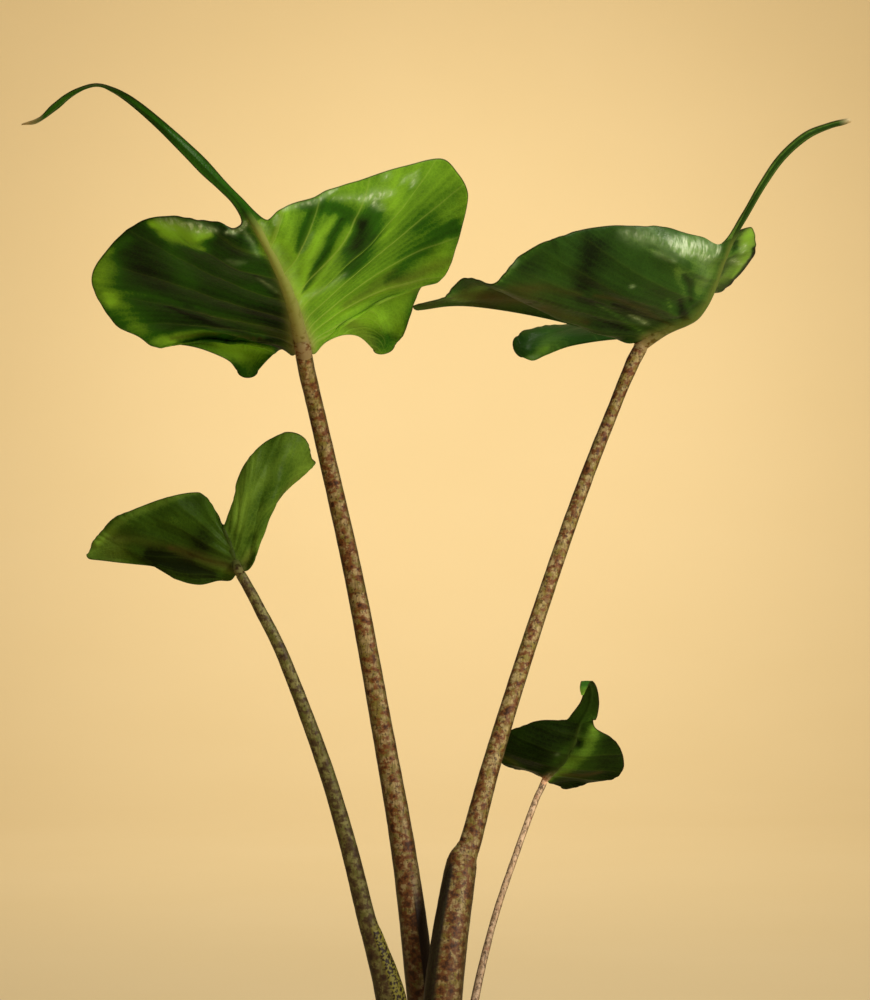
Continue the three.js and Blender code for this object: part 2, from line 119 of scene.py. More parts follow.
# A blade is two halves that share the midrib. Stations count from the base of the tail to the
# tips of the rear lobes; at the junction the stalk meets the midrib and the halves part.
#   midrib, sinus:  (station, x, y, z)
#   edge:           (station, x, y, z, bow), bow lifting the middle towards the upper face
#   tail:           (x, y, z, half-width x, y, z, half-thickness), tip first
#   tail_tone:      green of the tail, 0 for the deepest and 1 for the lightest
#   rib:            radius of the midrib at its start and at the junction
#   mottled:        how soon the blotches of the stalk fade along the midrib, sooner if large
#   quilt:          how high the skin puffs up between the veins
#   joint:          where the midrib meets the stalk, and the way that the stalk comes in
#   veins:          paths over a half as (station, share of the way to the edge), of the leaf
#                   where its halves share them
#   vein_strength:  how clearly they stand out in paler green
#   base_tone:      0 for the deepest green and 1 for the lightest, set lighter on better lit halves as painted light
# The next five are soft patches. Each row has the station and share of one or more points of a
# path, then its reach in mm, then one or two amounts.
#   hollows:        depth in mm, a dent towards the upper face
#   shades:         painted light and shade over the green's own variation, lighter above 0 and darker below
#   blushes:        how far the green turns a brownish beige
#   creases:        depth in mm, then painted shade along a fold or painted light along a ridge
#   sheens:         painted sheen, how far the skin is painted pale and made glossier
LEAVES = {
    "tall_left": {
        "midrib": [(9, -93.5, -86, 613.5), (12, -81, -49, 589.5), (14, -75, -25, 573),
                   (16, -72, -8, 559.5), (18, -70, 0, 550.5)],
        "rib": (2.0, 4.6),
        "mottled": 2.2,
        "quilt": 1.1,
        "tail_tone": 0.42,
        "joint": ((-69.3, -2.5, 545.5), (-0.15, -0.42, 0.9)),
        "tail": [(-213.5, -104, 663, 0.6, -1, 0.3, 0.5), (-204.5, -110, 664.5, 1.1, -3, 1.3, 0.8),
                 (-195.5, -115, 671, -0.9, -3, 1.0, 0.9), (-186, -119, 677.5, -0.4, -3, 0.8, 0.9),
                 (-174, -123, 681.5, 0.3, -4, 0.1, 0.9), (-164.5, -124, 679, 0.8, -3.5, 0.7, 1.0),
                 (-154.5, -123, 673, 1.3, -2, 1.4, 1.0), (-140, -120, 661, 1.8, -1, 1.9, 1.1),
                 (-125, -114, 647, 2.3, 0, 2.6, 1.1), (-117, -109, 639, 2.4, 0, 2.7, 1.2),
                 (-109, -103, 631, 1.9, 0.5, 2.2, 1.4), (-101.5, -96, 623.5, 2.0, 1, 2.1, 1.7)],
        "left": {
            "vein_strength": 0.12,
            "edge": [(9, -99.5, -88, 613, 0), (10, -105, -84, 610, -2), (11, -113, -86, 612.5, -5),
                     (13, -137, -78, 617, -9), (15, -164, -56, 609.5, -5), (17, -184, -26, 586.5, 1),
                     (19, -174, -2, 564.5, 6), (20, -162.5, 8, 556.5, 6), (21, -151, 14, 549.5, 5),
                     (22, -137.5, 16, 553, 3), (23, -114.5, 19.5, 545, 1), (24, -107.2, 21, 537.8, 0)],
            "sinus": [(19, -75, 4, 546.5), (20, -81, 9, 549.5), (22, -86.5, 18, 547),
                      (23, -90.5, 19.5, 543.5), (24, -95.5, 21, 537.8)],
            "veins": [[(11, 0), (11.2, 0.5), (11.6, 1)], [(12.4, 0), (12.8, 0.5), (13.2, 1)],
                      [(13.8, 0), (14.3, 0.5), (14.8, 1)], [(15.2, 0), (15.8, 0.5), (16.3, 1)],
                      [(16.4, 0), (17.2, 0.5), (17.8, 1)], [(17.4, 0), (18.4, 0.45), (19.4, 1)],
                      [(18, 0), (19.6, 0.45), (20.6, 1)], [(18.2, 0.1), (21, 0.4), (23.6, 0.5)]],
            "hollows": [(16.5, 0.4, 16, -1.5), (13.5, 0.35, 12, 1.2), (12.8, 0.82, 8, -2.6),
                        (13.6, 0.6, 9, 1.2)],
            "base_tone": 0.17,
            "shades": [(10.6, 0.1, 7, 0.25), (22.4, 0.25, 9, 0.2)],
            "blushes": [(20.4, 0.8, 20.1, 0.48, 18.4, 0.2, 2.2, 0.7),
                        (17.3, 0.48, 17, 0.24, 17.3, 0.06, 3.4, 0.35)],
            "creases": [(17.6, 0.64, 18.1, 0.48, 18.4, 0.26, 19, 0.04, 2.6, 0.5, -0.28),
                        (20.7, 0.78, 21.3, 0.46, 18.5, 0.16, 2.6, 0.15, -0.3),
                        (12.8, 0.26, 13.8, 0.08, 2.6, 0.4, -0.15),
                        (15.3, 0.9, 16, 0.8, 16.5, 0.7, 12, 0, -0.12),
                        (11.2, 0.84, 10.7, 0.46, 8, 0, -0.14),
                        (15.6, 0.26, 15.8, 0.14, 17.4, 0.08, 9, 0, -0.16),
                        (16.9, 0.5, 17, 0.3, 17.2, 0.06, 3.4, -0.4, 0.2),
                        (17.6, 0.94, 17.1, 0.72, 17.1, 0.58, 3.2, -0.3, 0.25),
                        (14, 0.96, 13.5, 0.92, 12.7, 0.88, 11.9, 0.84, 6, 0, 0.95),
                        (14.1, 0.88, 13.5, 0.8, 12.9, 0.72, 6, 0, 0.55),
                        (14.4, 0.78, 15, 0.66, 15.6, 0.58, 8.5, 0, 0.22),
                        (15.1, 0.96, 15.7, 0.98, 4.5, 0, 0.3),
                        (15.9, 1, 16.7, 0.98, 17.6, 0.98, 17.9, 0.94, 8.5, 0, 0.52),
                        (16.1, 0.92, 17.1, 0.9, 17.9, 0.86, 9, 0, 0.25),
                        (18.1, 0.94, 18.9, 0.9, 20.2, 0.94, 20.7, 0.84, 9.5, 0, 0.42),
                        (19.1, 0.9, 19.7, 0.92, 5.5, 0, 0.08), (20.5, 0.92, 20.5, 0.84, 4.5, 0, 0.3),
                        (20.1, 0.74, 19.8, 0.46, 18.2, 0.2, 5.5, 0, 0.35),
                        (21.2, 0.88, 22.4, 0.92, 22.3, 0.42, 21.4, 0.06, 7.5, 0, 0.45),
                        (22.3, 0.64, 22.8, 0.64, 8.5, 0, 0.4),
                        (22.1, 0.08, 23.2, 0.22, 24.3, 0.42, 8, 0, 0.35),
                        (9, 0.24, 10.2, 0.08, 12, 0.04, 4.6, 0, 0.38)],
            "sheens": [(13.7, 0.98, 13, 0.96, 12.2, 0.92, 11.4, 0.88, 3.4, 0.7),
                       (12.3, 0.94, 11.9, 0.9, 2.8, 0.8), (13.7, 0.94, 13.3, 0.9, 2.2, 0.4),
                       (9, 0.68, 9.8, 0.86, 10.9, 0.82, 2, 1),
                       (9.8, 0.6, 10.4, 0.36, 11.3, 0.22, 1.6, 0.45),
                       (12.6, 0.52, 12.1, 0.38, 2.4, 0.3),
                       (13, 0.24, 13.2, 0.16, 13.5, 0.08, 1.5, 0.45)],
        },
        "right": {
            "vein_strength": 0.9,
            "edge": [(9, -87, -84, 614.5, 0), (10, -80, -84, 619.5, -2), (11, -64.5, -81, 624.8, -5),
                     (12, -47.5, -76, 633.5, -8), (14, 3.5, -60, 648, -6),
                     (15, 14.5, -50, 642.5, 0), (16, 20.5, -40, 629.5, 5),
                     (18, 12, -12, 596, 8), (19, 4.5, -3, 586.5, 6), (20, -3.5, 4, 584, 4),
                     (22, -14, 20, 560, 2), (23, -15.6, 25, 556.7, 1), (24, -19.5, 28, 551.8, 0)],
            "sinus": [(19, -65, 4, 547), (20, -57.5, 10, 553.5), (21, -48, 16, 557.5),
                      (22, -40, 22, 557), (24, -31.8, 28, 550.1)],
            "veins": [[(10.6, 0), (10.3, 0.5), (10.2, 1)], [(12.2, 0), (11.6, 0.5), (11.4, 1)],
                      [(13.6, 0), (13.0, 0.5), (12.6, 1)], [(14.6, 0), (14.3, 0.5), (14.0, 1)],
                      [(15.6, 0), (15.6, 0.5), (15.5, 1)], [(16.5, 0), (16.7, 0.45), (17.2, 1)],
                      [(17.2, 0), (17.8, 0.45), (18.6, 1)], [(18, 0), (18.8, 0.45), (20, 1)],
                      [(18.3, 0.1), (20.4, 0.5), (23.4, 0.55)]],
            "hollows": [(13.6, 0.5, 13, -2.5), (16.6, 0.78, 8, -0.8), (12.2, 0.86, 8, -0.8)],
            "base_tone": 0.72,
            "shades": [(14.1, 0.55, 13, -0.08), (16.3, 0.75, 16, -0.18), (17, 0.98, 6, -0.2),
                       (23.2, 0.5, 8, -0.3), (13.2, 0.92, 10, 0.08), (19.5, 0.35, 18, 0.12),
                       (14.2, 0.08, 9, 0.1)],
            "blushes": [(19.6, 0.85, 9, 0.25),
                        (17.9, 0.98, 18.1, 0.78, 17.9, 0.58, 17.4, 0.3, 4.4, 0.55),
                        (17.3, 0.62, 17.2, 0.46, 2.8, 0.3),
                        (20.2, 0.24, 22.2, 0.1, 23.8, 0.1, 5, 0.5)],
            "creases": [(11.3, 0.78, 11.3, 0.58, 11.7, 0.3, 3.4, 0.5, -0.36),
                        (12.5, 0.66, 12.6, 0.5, 13, 0.3, 13.3, 0.18, 13.8, 0.08, 2.8, 0.7, -0.46),
                        (13.3, 0.7, 13.6, 0.58, 13.8, 0.46, 11, 0.8, -0.36),
                        (13.3, 0.58, 13.7, 0.44, 15.3, 0.32, 8, 0.5, -0.36),
                        (14.2, 0.52, 15, 0.44, 15.5, 0.38, 6.5, 0, -0.18),
                        (10.9, 0.92, 11.6, 0.86, 12.5, 0.72, 13.2, 0.62, 5, 0.3, -0.34),
                        (16.6, 0.94, 16.9, 0.82, 17.2, 0.7, 17.7, 0.58, 5.5, 0.4, -0.26),
                        (15.5, 0.94, 15.6, 0.84, 15.8, 0.72, 6.5, 0.2, -0.13),
                        (10.3, 0.92, 10.9, 0.34, 12.4, 0.1, 3.6, -0.5, 0.15),
                        (12.2, 0.72, 12.1, 0.5, 12.5, 0.24, 13.6, 0.06, 3.2, -0.6, 0.26),
                        (12.9, 0.6, 13, 0.44, 13.5, 0.26, 14, 0.12, 3, -0.4, 0.18),
                        (13.1, 0.98, 13.5, 0.76, 15, 0.56, 7, 0, 0.15),
                        (10.3, 0.26, 11.5, 0.12, 13.2, 0.06, 14.7, 0.06, 4.2, 0, 0.16),
                        (19.2, 0.98, 21, 1, 21.7, 1, 3.2, 0, -0.3),
                        (18, 0.5, 17.9, 0.62, 4, 0, 0.16),
                        (17.1, 0.92, 17.8, 0.92, 18.2, 0.88, 6, 0, 0.15),
                        (18.4, 0.34, 21.1, 0.46, 22, 0.8, 8, 0, 0.2)],
            "sheens": [(11.9, 0.9, 12.3, 0.88, 12.7, 0.84, 2, 0.6),
                       (12.7, 0.84, 13.1, 0.82, 13.4, 0.82, 3.8, 0.9),
                       (13.1, 0.76, 13.6, 0.7, 2.5, 0.7), (13, 0.96, 2.2, 0.8),
                       (13.6, 0.92, 13.5, 0.88, 2, 0.7), (13.7, 0.94, 13.9, 0.84, 2, 0.8),
                       (15.2, 0.3, 14.9, 0.22, 14.5, 0.14, 14.2, 0.08, 3.8, 0.5),
                       (10, 0.84, 10.1, 0.6, 2, 1), (9.2, 0.46, 10.1, 0.26, 2.2, 0.5),
                       (11.7, 0.56, 11.9, 0.3, 1.7, 0.35),
                       (10.2, 0.96, 10.9, 0.94, 11.4, 0.94, 11.9, 0.98, 1.8, 0.8),
                       (10.7, 0.16, 11.9, 0.1, 13.4, 0.06, 4, 0.3), (14.2, 0.04, 1.8, 0.8)],
        },
    },
    "tall_right": {
        "midrib": [(6, 171.5, 72, 615.5), (8, 165, 80, 601), (10, 159.5, 88, 585.5),
                   (12, 151.5, 96, 573), (14, 140, 103, 568), (16, 125.5, 109, 561.5)],
        "rib": (1.8, 4.0),
        "mottled": 9,
        "quilt": 1.1,
        "tail_tone": 0.62,
        "joint": ((121, 109.5, 553), (0.48, 0.15, 0.86)),
        "veins": [[(7.5, 0), (7.6, 0.5), (7.8, 1)], [(9, 0), (9.3, 0.5), (9.6, 1)],
                  [(10.6, 0), (11, 0.5), (11.5, 1)], [(12.2, 0), (12.6, 0.5), (13.2, 1)],
                  [(13.6, 0), (14.2, 0.5), (14.8, 1)], [(14.8, 0), (15.6, 0.5), (16.6, 1)],
                  [(16, 0), (17, 0.4), (18.2, 1)], [(16.3, 0.1), (19, 0.5), (23, 0.6)]],
        "tail": [(236.5, 49, 679.5, 0.6, 0, -1.1, 0.8), (232, 49.5, 678.5, 0.5, 1.0, -1.4, 1.3),
                 (224, 51, 676.5, 0.8, 1, -1.4, 1.4), (211.5, 53, 671, 1.4, 1, -1.7, 1.5),
                 (198, 56, 659, 1.9, 1, -1.2, 1.6), (187, 60, 643, 1.8, 1, -0.9, 1.6),
                 (178, 66, 627, 1.8, 1, -0.7, 1.7)],
        "left": {
            "vein_strength": 0.12,
            "edge": [(6, 165, 67, 611, 0), (7, 153.5, 52, 613.5, -4), (9, 122.5, 31, 619.5, -12),
                     (12, 73, 17, 613, -12), (14, 51, 18, 601.5, -8), (16, 36.5, 23, 587.5, -4),
                     (17, 31, 26, 586, -2), (19, 18, 31, 590, 2), (21, 9, 37, 579.5, 2),
                     (22, 3.5, 39, 578.5, 1), (24, -9, 43, 575, 0)],
            "sinus": [(17, 115, 106, 556.5), (18, 100.5, 98, 561.5), (20, 59.5, 76, 570.5),
                      (22, 19.5, 56, 575.5), (24, -7, 45, 572.5)],
            "hollows": [(12.6, 0.12, 7, -2.6), (11.2, 0.1, 5, -1.6), (12.6, 0.5, 12, -1.5),
                        (8.6, 0.72, 11, -2)],
            "base_tone": 0.3,
            "shades": [(8, 0.65, 18, 0.3), (9.4, 0.88, 11, 0.15), (8.5, 0.2, 14, 0.3),
                       (10.3, 0.15, 10, 0.12), (14.4, 0.35, 15, -0.12), (12.9, 0.6, 14, -0.06),
                       (14.2, 0.85, 12, 0.1), (11.4, 0.97, 8, 0.1)],
            "blushes": [(18, 0.6, 18, 0.35), (16.4, 0.82, 11, 0.35), (21, 0.35, 14, 0.5),
                        (23.2, 0.5, 9, 0.5), (21, 0.82, 19.5, 0.44, 16.6, 0.64, 16.5, 0.38, 5, 0.55),
                        (20.1, 0.84, 16, 0.92, 15, 0.78, 14.4, 0.62, 3.5, 0.4),
                        (13.9, 0.56, 13.2, 0.46, 13.2, 0.32, 14, 0.06, 2.8, 0.6)],
            "creases": [(11.3, 0.96, 11.9, 0.86, 12.5, 0.78, 13.8, 0.66, 8, 0.5, -0.26),
                        (11.1, 0.88, 11.8, 0.78, 13.1, 0.64, 9, 0.3, -0.14),
                        (14.5, 0.96, 14.2, 0.86, 7, 0, -0.2), (14.7, 0.6, 14.4, 0.48, 4, 0.4, -0.22),
                        (19.2, 0.7, 15.9, 0.74, 15.6, 0.44, 16.1, 0.1, 1.7, 0.4, -0.24),
                        (16.4, 0.38, 16.3, 0.22, 16.5, 0.04, 5.5, 0, -0.2),
                        (14.5, 0.5, 14.9, 0.32, 15.9, 0.02, 1.7, -0.4, 0.36),
                        (13.9, 0.44, 13.9, 0.26, 14, 0.04, 2.4, 0.6, -0.28),
                        (9.7, 0.44, 10.1, 0.28, 11, 0.14, 3, 0.6, -0.36),
                        (11.2, 0.22, 12.8, 0, 3, 0.6, -0.42),
                        (9.7, 0.54, 10.4, 0.3, 12.2, 0.02, 2.8, -0.3, 0.2),
                        (11.5, 0.3, 13.4, 0.02, 2.2, -0.4, 0.24),
                        (9.7, 0.28, 10.7, 0, 12.1, 0, 3.8, -0.3, 0.12),
                        (9.8, 0.78, 9.5, 0.68, 9.5, 0.54, 9.6, 0.36, 1.7, -0.3, 0.22),
                        (9.3, 0.7, 9.2, 0.5, 3.6, 0, -0.2), (12.4, 1, 12.8, 0.92, 1.7, 0.3, -0.15),
                        (10, 0.88, 9.2, 0.82, 8.3, 0.7, 6, 0, 0.15),
                        (16.6, 0.92, 20.9, 0.66, 22.5, 0.96, 8, 0, 0.28),
                        (12.7, 1, 14.2, 0.98, 15.5, 1, 16.2, 1, 3, 0, 0.25),
                        (21.1, 0.74, 19.9, 0.72, 9, 0, 0.16), (13.4, 0.84, 12.5, 0.68, 14, 0, 0.08)],
            "sheens": [(10.1, 0.94, 9.4, 0.9, 8.8, 0.82, 8.2, 0.7, 5.5, 0.55),
                       (8.6, 0.82, 7.8, 0.76, 7, 0.44, 6, 0.9), (9.8, 0.76, 9.4, 0.64, 2, 0.4),
                       (7.7, 0.62, 9.6, 0.1, 5, 0.25), (14.4, 0.28, 14.8, 0.12, 1.9, 0.7),
                       (11.9, 0.54, 1.3, 1), (14.9, 1, 14.3, 1, 1.8, 0.6)],
        },
        "right": {
            "vein_strength": 0.3,
            "edge": [(6, 174.5, 74, 618, 0), (8, 184.5, 92, 622, 4), (9, 186.5, 106, 615.5, 6),
                     (10, 187.5, 120, 607.5, 7), (11, 183.5, 136, 599, 8), (13, 165, 164, 588, 8),
                     (15, 137, 184, 594, 8), (17, 105, 188, 586.5, 6), (19, 86, 179, 572, 3),
                     (22, 59, 165, 567.5, 1), (23, 54.1, 160, 565.7, 0), (24, 51.6, 156, 562.6, 0)],
            "sinus": [(17, 117.5, 114, 557), (18, 109.5, 122, 559.5), (20, 83.5, 138, 556.5),
                      (22, 67.5, 150, 551), (23, 60.4, 153, 548), (24, 54.6, 155, 549.9)],
            "hollows": [(8.3, 0.35, 5, 2)],
            "base_tone": 0.4,
            "shades": [(8.4, 0.95, 12, 0.45), (10.6, 0.92, 12, 0.45), (11.8, 0.72, 10, 0.3),
                       (9.4, 0.4, 12, 0.2), (14, 0.78, 8, 0.25), (12.9, 0.1, 7, -0.3),
                       (16, 0.5, 18, -0.25), (18, 0.4, 16, -0.2), (21.4, 0.06, 12, 0.35),
                       (23.2, 0.6, 10, -0.25)],
            "blushes": [(21.6, 0.5, 9, 0.2), (23, 1, 20.9, 0.98, 19.6, 0.66, 18.6, 0.12, 4.4, 0.9),
                        (20.4, 0.54, 19, 0.14, 5, 0.5)],
            "creases": [(8.4, 0.6, 9.1, 0.76, 3, 0.8, -0.4),
                        (7.9, 0.9, 9.1, 0.9, 10.3, 0.88, 5.5, -0.6, 0.42),
                        (6, 0.94, 9.1, 0.7, 2.8, 0.4, -0.3),
                        (9.7, 0.92, 10.6, 0.9, 11.4, 0.9, 2, -0.3, 0.25),
                        (9.4, 0.98, 10.4, 1, 11.3, 1, 12.2, 1, 2.8, 0.3, -0.85),
                        (23.8, 1, 24.4, 0.56, 24.1, 0.02, 4.5, 0, -0.28),
                        (23.7, 0.02, 22.6, 0.1, 21.6, 0.14, 2.8, 0, 0.5),
                        (21.4, 0.34, 22.1, 0.26, 5, 0, 0.12)],
            "sheens": [(9, 0.86, 9.5, 0.82, 2.6, 0.9), (9.8, 0.66, 10.5, 0.9, 2.4, 0.7),
                       (23.2, 0.12, 22.4, 0.04, 1.5, 0.6)],
        },
    },
    "low_left": {
        "midrib": [(4, -112, -27, 450), (6, -109.5, -27, 444.5), (8, -107, -26, 436),
                   (10, -104.5, -25.5, 429)],
        "rib": (1.4, 2.6),
        "mottled": 9,
        "quilt": 0.6,
        "tail_tone": 0.4,
        "joint": ((-102.5, -31.5, 425.5), (-0.5, -0.05, 0.86)),
        "tail": [(-147, 58, 439, 0, 0, 1.7, 0.5), (-140.5, 46, 442, 0, 0, 2.2, 0.9),
                 (-132.5, 32, 445, 0, 0, 2.5, 1.0), (-123.5, 13, 448.5, 0.6, -1, 2.5, 1.1),
                 (-116.5, -5, 450.5, 1.2, -1, 2.2, 1.2), (-112.5, -20, 450.5, 1.8, -1, 1.6, 1.4)],
        "left": {
            "vein_strength": 0.12,
            "edge": [(4, -113, -27, 451.5, 0), (5, -115.5, -26, 459, -1), (6, -119.5, -24, 466, -3),
                     (7, -126.5, -22, 470, -5), (9, -143, -18, 467.5, -8), (11, -160.5, -12, 461.5, -7),
                     (13, -174.5, -6, 455, -4), (16, -185.5, 0, 442.5, -1), (18, -188, -1, 436.5, 0)],
            "sinus": [(11, -108, -25, 422.5), (12, -115.5, -26, 422), (13, -125.5, -27, 420),
                      (14, -137, -25, 422.5), (15, -148, -20, 429), (16, -162.5, -14, 431),
                      (18, -186, -4, 433.5)],
            "veins": [[(6, 0), (6.4, 0.5), (7, 1)], [(7.4, 0), (8, 0.5), (9, 1)],
                      [(8.6, 0), (9.6, 0.5), (11, 1)], [(9.6, 0), (11.4, 0.5), (13.6, 0.95)],
                      [(10, 0), (12, 0.32), (14.5, 0.5), (17, 0.6)], [(10.2, 0), (12.5, 0.12), (14, 0.25)]],
            "hollows": [(8.6, 0.3, 9, -1.5)],
            "base_tone": 0.34,
            "shades": [(16.4, 0.9, 9, 0.4), (15.6, 0.4, 9, 0.3), (14.4, 0.8, 8, 0.15),
                       (11, 0.95, 8, 0.1)],
            "blushes": [(14.4, 0.7, 9, 0.2), (16.6, 0.3, 8, 0.2),
                        (12, 0.46, 10.9, 0.32, 10.3, 0.12, 10.2, 0.02, 3, 0.75),
                        (14.7, 0.86, 13, 0.66, 12, 0.46, 2.6, 0.35)],
            "creases": [(15.8, 0.88, 13.7, 0.92, 11, 0.96, 9, 0.96, 7, 1, 3.4, 0, 0.36),
                        (13.4, 0.46, 12.6, 0.28, 11.7, 0.1, 7.5, 0.4, -0.5),
                        (8.8, 0.42, 9.9, 0.34, 7, 0.3, -0.25),
                        (12.8, 0.86, 10.6, 0.78, 8.3, 0.56, 3, -0.3, 0.08),
                        (14.3, 0.76, 13, 0.66, 12.2, 0.52, 11.6, 0.38, 2.4, -0.4, 0.16),
                        (6.4, 0.88, 6.2, 0.46, 7.9, 0.08, 4, 0, 0.1),
                        (11.5, 0.28, 10.9, 0.18, 10.5, 0.04, 3, -0.3, 0.3)],
            "sheens": [],
        },
        "right": {
            "vein_strength": 0.2,
            "edge": [(4, -111.5, -27, 452, 0), (6, -107, -27, 466, -3), (8, -102, -25, 483, -5),
                     (10, -92.5, -22, 495.5, -6), (12, -78, -18, 503, -4), (14, -67.5, -15, 499, -2),
                     (16, -65, -13, 489.5, 0), (17, -62, -12, 486, 0), (18, -64.5, -11, 483.5, 0)],
            "sinus": [(11, -99.5, -26, 427.5), (12, -94.6, -30, 435.2), (13, -93.2, -25, 446.5),
                      (14, -89.3, -20, 454.6), (16, -82, -15, 467.5), (18, -67.5, -10, 482.5)],
            "veins": [[(6, 0), (6.4, 0.5), (7, 1)], [(7.6, 0), (8.2, 0.5), (9, 1)],
                      [(9, 0), (9.8, 0.5), (11.4, 1)], [(10, 0), (12, 0.45), (15, 0.5), (17, 0.56)]],
            "hollows": [(12.4, 0.12, 4, -0.5)],
            "base_tone": 0.54,
            "shades": [(10.6, 0.5, 10, -0.08), (6.5, 0.4, 8, 0.12), (12.6, 0.1, 7, 0.12)],
            "blushes": [(10.6, 0.04, 4, 0.5), (10.5, 0.08, 11.3, 0.14, 2.6, 0.45),
                        (13, 0.02, 13.3, 0.3, 16.2, 0.46, 3, 0.35)],
            "creases": [(8, 0.3, 8.4, 0.56, 10.4, 0.66, 11.8, 0.72, 12.4, 0.84, 3, -0.3, 0.16),
                        (11.5, 0.38, 13.6, 0.34, 16.5, 0.36, 4, -0.3, 0.12),
                        (6.1, 0.62, 7.6, 0.86, 9.2, 0.94, 6.5, 0, 0.24),
                        (12, 0.94, 14.5, 0.84, 16.3, 0.86, 8, 0, 0.14),
                        (15.7, 0.32, 16.2, 0.6, 16.9, 0.8, 5, 0, 0.2),
                        (10.9, 0.26, 10.9, 0.18, 3.2, 0.5, -0.3),
                        (10.4, 0.08, 11.3, 0.12, 11.7, 0.16, 2.6, -0.4, 0.36),
                        (10.9, 0.04, 11.7, 0.06, 2.6, 0.3, -0.25)],
            "sheens": [],
        },
    },
    "low_right": {
        "midrib": [(6, 85, 72, 338.5), (8, 81, 78, 325.5), (10, 74.5, 85, 315),
                   (12, 66, 93, 307.5)],
        "rib": (1.0, 1.8),
        "mottled": 12,
        "quilt": 0.5,
        "tail_tone": 0.3,
        "joint": ((65, 90.5, 304), (0.4, 0.25, 0.88)),
        "veins": [[(7, 0), (7.4, 0.5), (8, 1)], [(8.6, 0), (9.2, 0.5), (10, 1)],
                  [(10.2, 0), (10.8, 0.5), (11.6, 1)], [(11.4, 0), (12.2, 0.5), (13, 1)]],
        "tail": [(85.5, 46, 356.5, 0.6, 0, 0, 0.5), (86, 44, 360.5, 2.0, 0, 0, 0.7),
                 (88, 48, 364, 3.1, 1, 0, 0.8), (90.5, 58, 360, 3.7, 1, 0, 0.8),
                 (90.5, 66, 352, 5.3, 1, 0, 0.9), (88, 70, 345, 7.3, 1, 0, 1.0),
                 (86, 71, 341.5, 8.2, 0, 0, 1.0)],
        "left": {
            "vein_strength": 0.08,
            "edge": [(6, 75, 72, 341.2, 0), (8, 59.5, 72, 340, -2), (10, 44.5, 76, 334.6, -4),
                     (11, 39.5, 81, 328, -3), (12, 38.5, 87, 320.5, 0), (13, 41.5, 92, 314.8, 1),
                     (14, 46, 96, 311.8, 1), (16, 55, 101, 311.2, 0)],
            "sinus": [(13, 63.5, 97, 307.5), (14, 61, 99, 308.4), (16, 57, 102, 311)],
            "hollows": [(9, 0.4, 10, -1.2)],
            "base_tone": 0.08,
            "shades": [(10, 0.9, 8, 0.06)],
            "blushes": [(11.9, 0.88, 12, 0.66, 14.3, 0.34, 2.4, 0.6)],
            "creases": [(7.6, 0.06, 8.8, 0.12, 9.9, 0.12, 3.2, -0.4, 0.26),
                        (12, 0.86, 12, 0.66, 12.3, 0.4, 2.8, 0, 0.4)],
            "sheens": [(9.1, 0.2, 1.4, 0.3)],
        },
        "right": {
            "vein_strength": 0.2,
            "edge": [(6, 92.5, 70, 341, 0), (7, 94.5, 72, 336, -1), (9, 106.5, 79, 328, -3),
                     (11, 111, 89, 314.3, -2), (12, 107.5, 94, 308, 0), (14, 92.5, 101, 303, 1),
                     (16, 79, 106, 299.6, 0)],
            "sinus": [(13, 68, 97, 304), (14, 70.5, 100, 303), (16, 75.5, 104, 301)],
            "hollows": [(8.6, 0.15, 4, -0.8)],
            "base_tone": 0.08,
            "shades": [(6.4, 0.85, 6, 0.2)],
            "blushes": [(11.4, 0.14, 11.7, 0.44, 11.3, 0.68, 2.6, 0.7)],
            "creases": [(12.3, 0.04, 10.5, 0.08, 9.2, 0.2, 8, 0.46, 6.9, 0.9, 6.5, -0.2, 0.72),
                        (11.2, 0.2, 10.7, 0.38, 10.2, 0.56, 3.6, 0, 0.16),
                        (7.6, 0.1, 7.9, 0.18, 3.4, 0.4, -0.5)],
            "sheens": [],
        },
    },
}

# Stalks from the soil up: (x, y, z, half-width, groove), each ending at its leaf's joint, where
# its half-width is top. The groove is the share of the half-width that is pressed in.
STALKS = {
    "tall_left": {
        "path": [(1, 16, 131, 8.6, 0.1), (-0.5, 16, 150, 8.5, 0.25), (-4.5, 18, 189, 8.2, 0.3),
                 (-14, 21, 266, 6.9, 0.2), (-26.5, 24, 338, 5.9, 0.12), (-42, 22, 421.5, 5.2, 0.1),
                 (-60.5, 14, 504.5, 4.6, 0.08)],
        "top": 4.6,
    },
    "tall_right": {
        "path": [(4.5, -14, 131, 10.9, 0.1), (5.5, -10, 160, 10.8, 0.3), (7.5, -6, 194.5, 10.4, 0.35),
                 (11, 0, 224, 9.8, 0.35), (16.5, 12, 258.5, 8.7, 0.35), (18, 14, 266.5, 8.1, 0.3),
                 (20.5, 16, 272, 6.6, 0.2), (23, 18, 278.5, 6.0, 0.15), (35, 32, 321, 5.2, 0.12),
                 (56.5, 56, 387, 4.5, 0.1), (84.5, 84, 466, 4.0, 0.1), (107.5, 103, 523.5, 3.6, 0.08)],
        "top": 4.0,
    },
    "low_left": {
        "path": [(-16.5, -2, 131, 9.6, 0.1), (-18.5, -5, 164, 9.0, 0.3), (-22, -8, 194.5, 8.1, 0.35),
                 (-31, -10, 225, 5.7, 0.3), (-34.5, -11, 236, 5.1, 0.2), (-45.5, -15, 280.5, 4.6, 0.12),
                 (-58.5, -19, 324, 4.1, 0.1), (-79, -25, 379, 3.4, 0.1), (-92, -28, 406, 3.1, 0.08)],
        "top": 2.8,
    },
    "low_right": {
        "path": [(16, 10, 131, 2.5, 0), (20, 20, 161, 2.5, 0.1), (25.5, 32, 190, 2.3, 0.1),
                 (36, 50, 230, 1.9, 0.1), (49.5, 68, 267.5, 1.8, 0.08), (60, 83, 294, 1.8, 0.06)],
        "top": 1.8,
    },
}

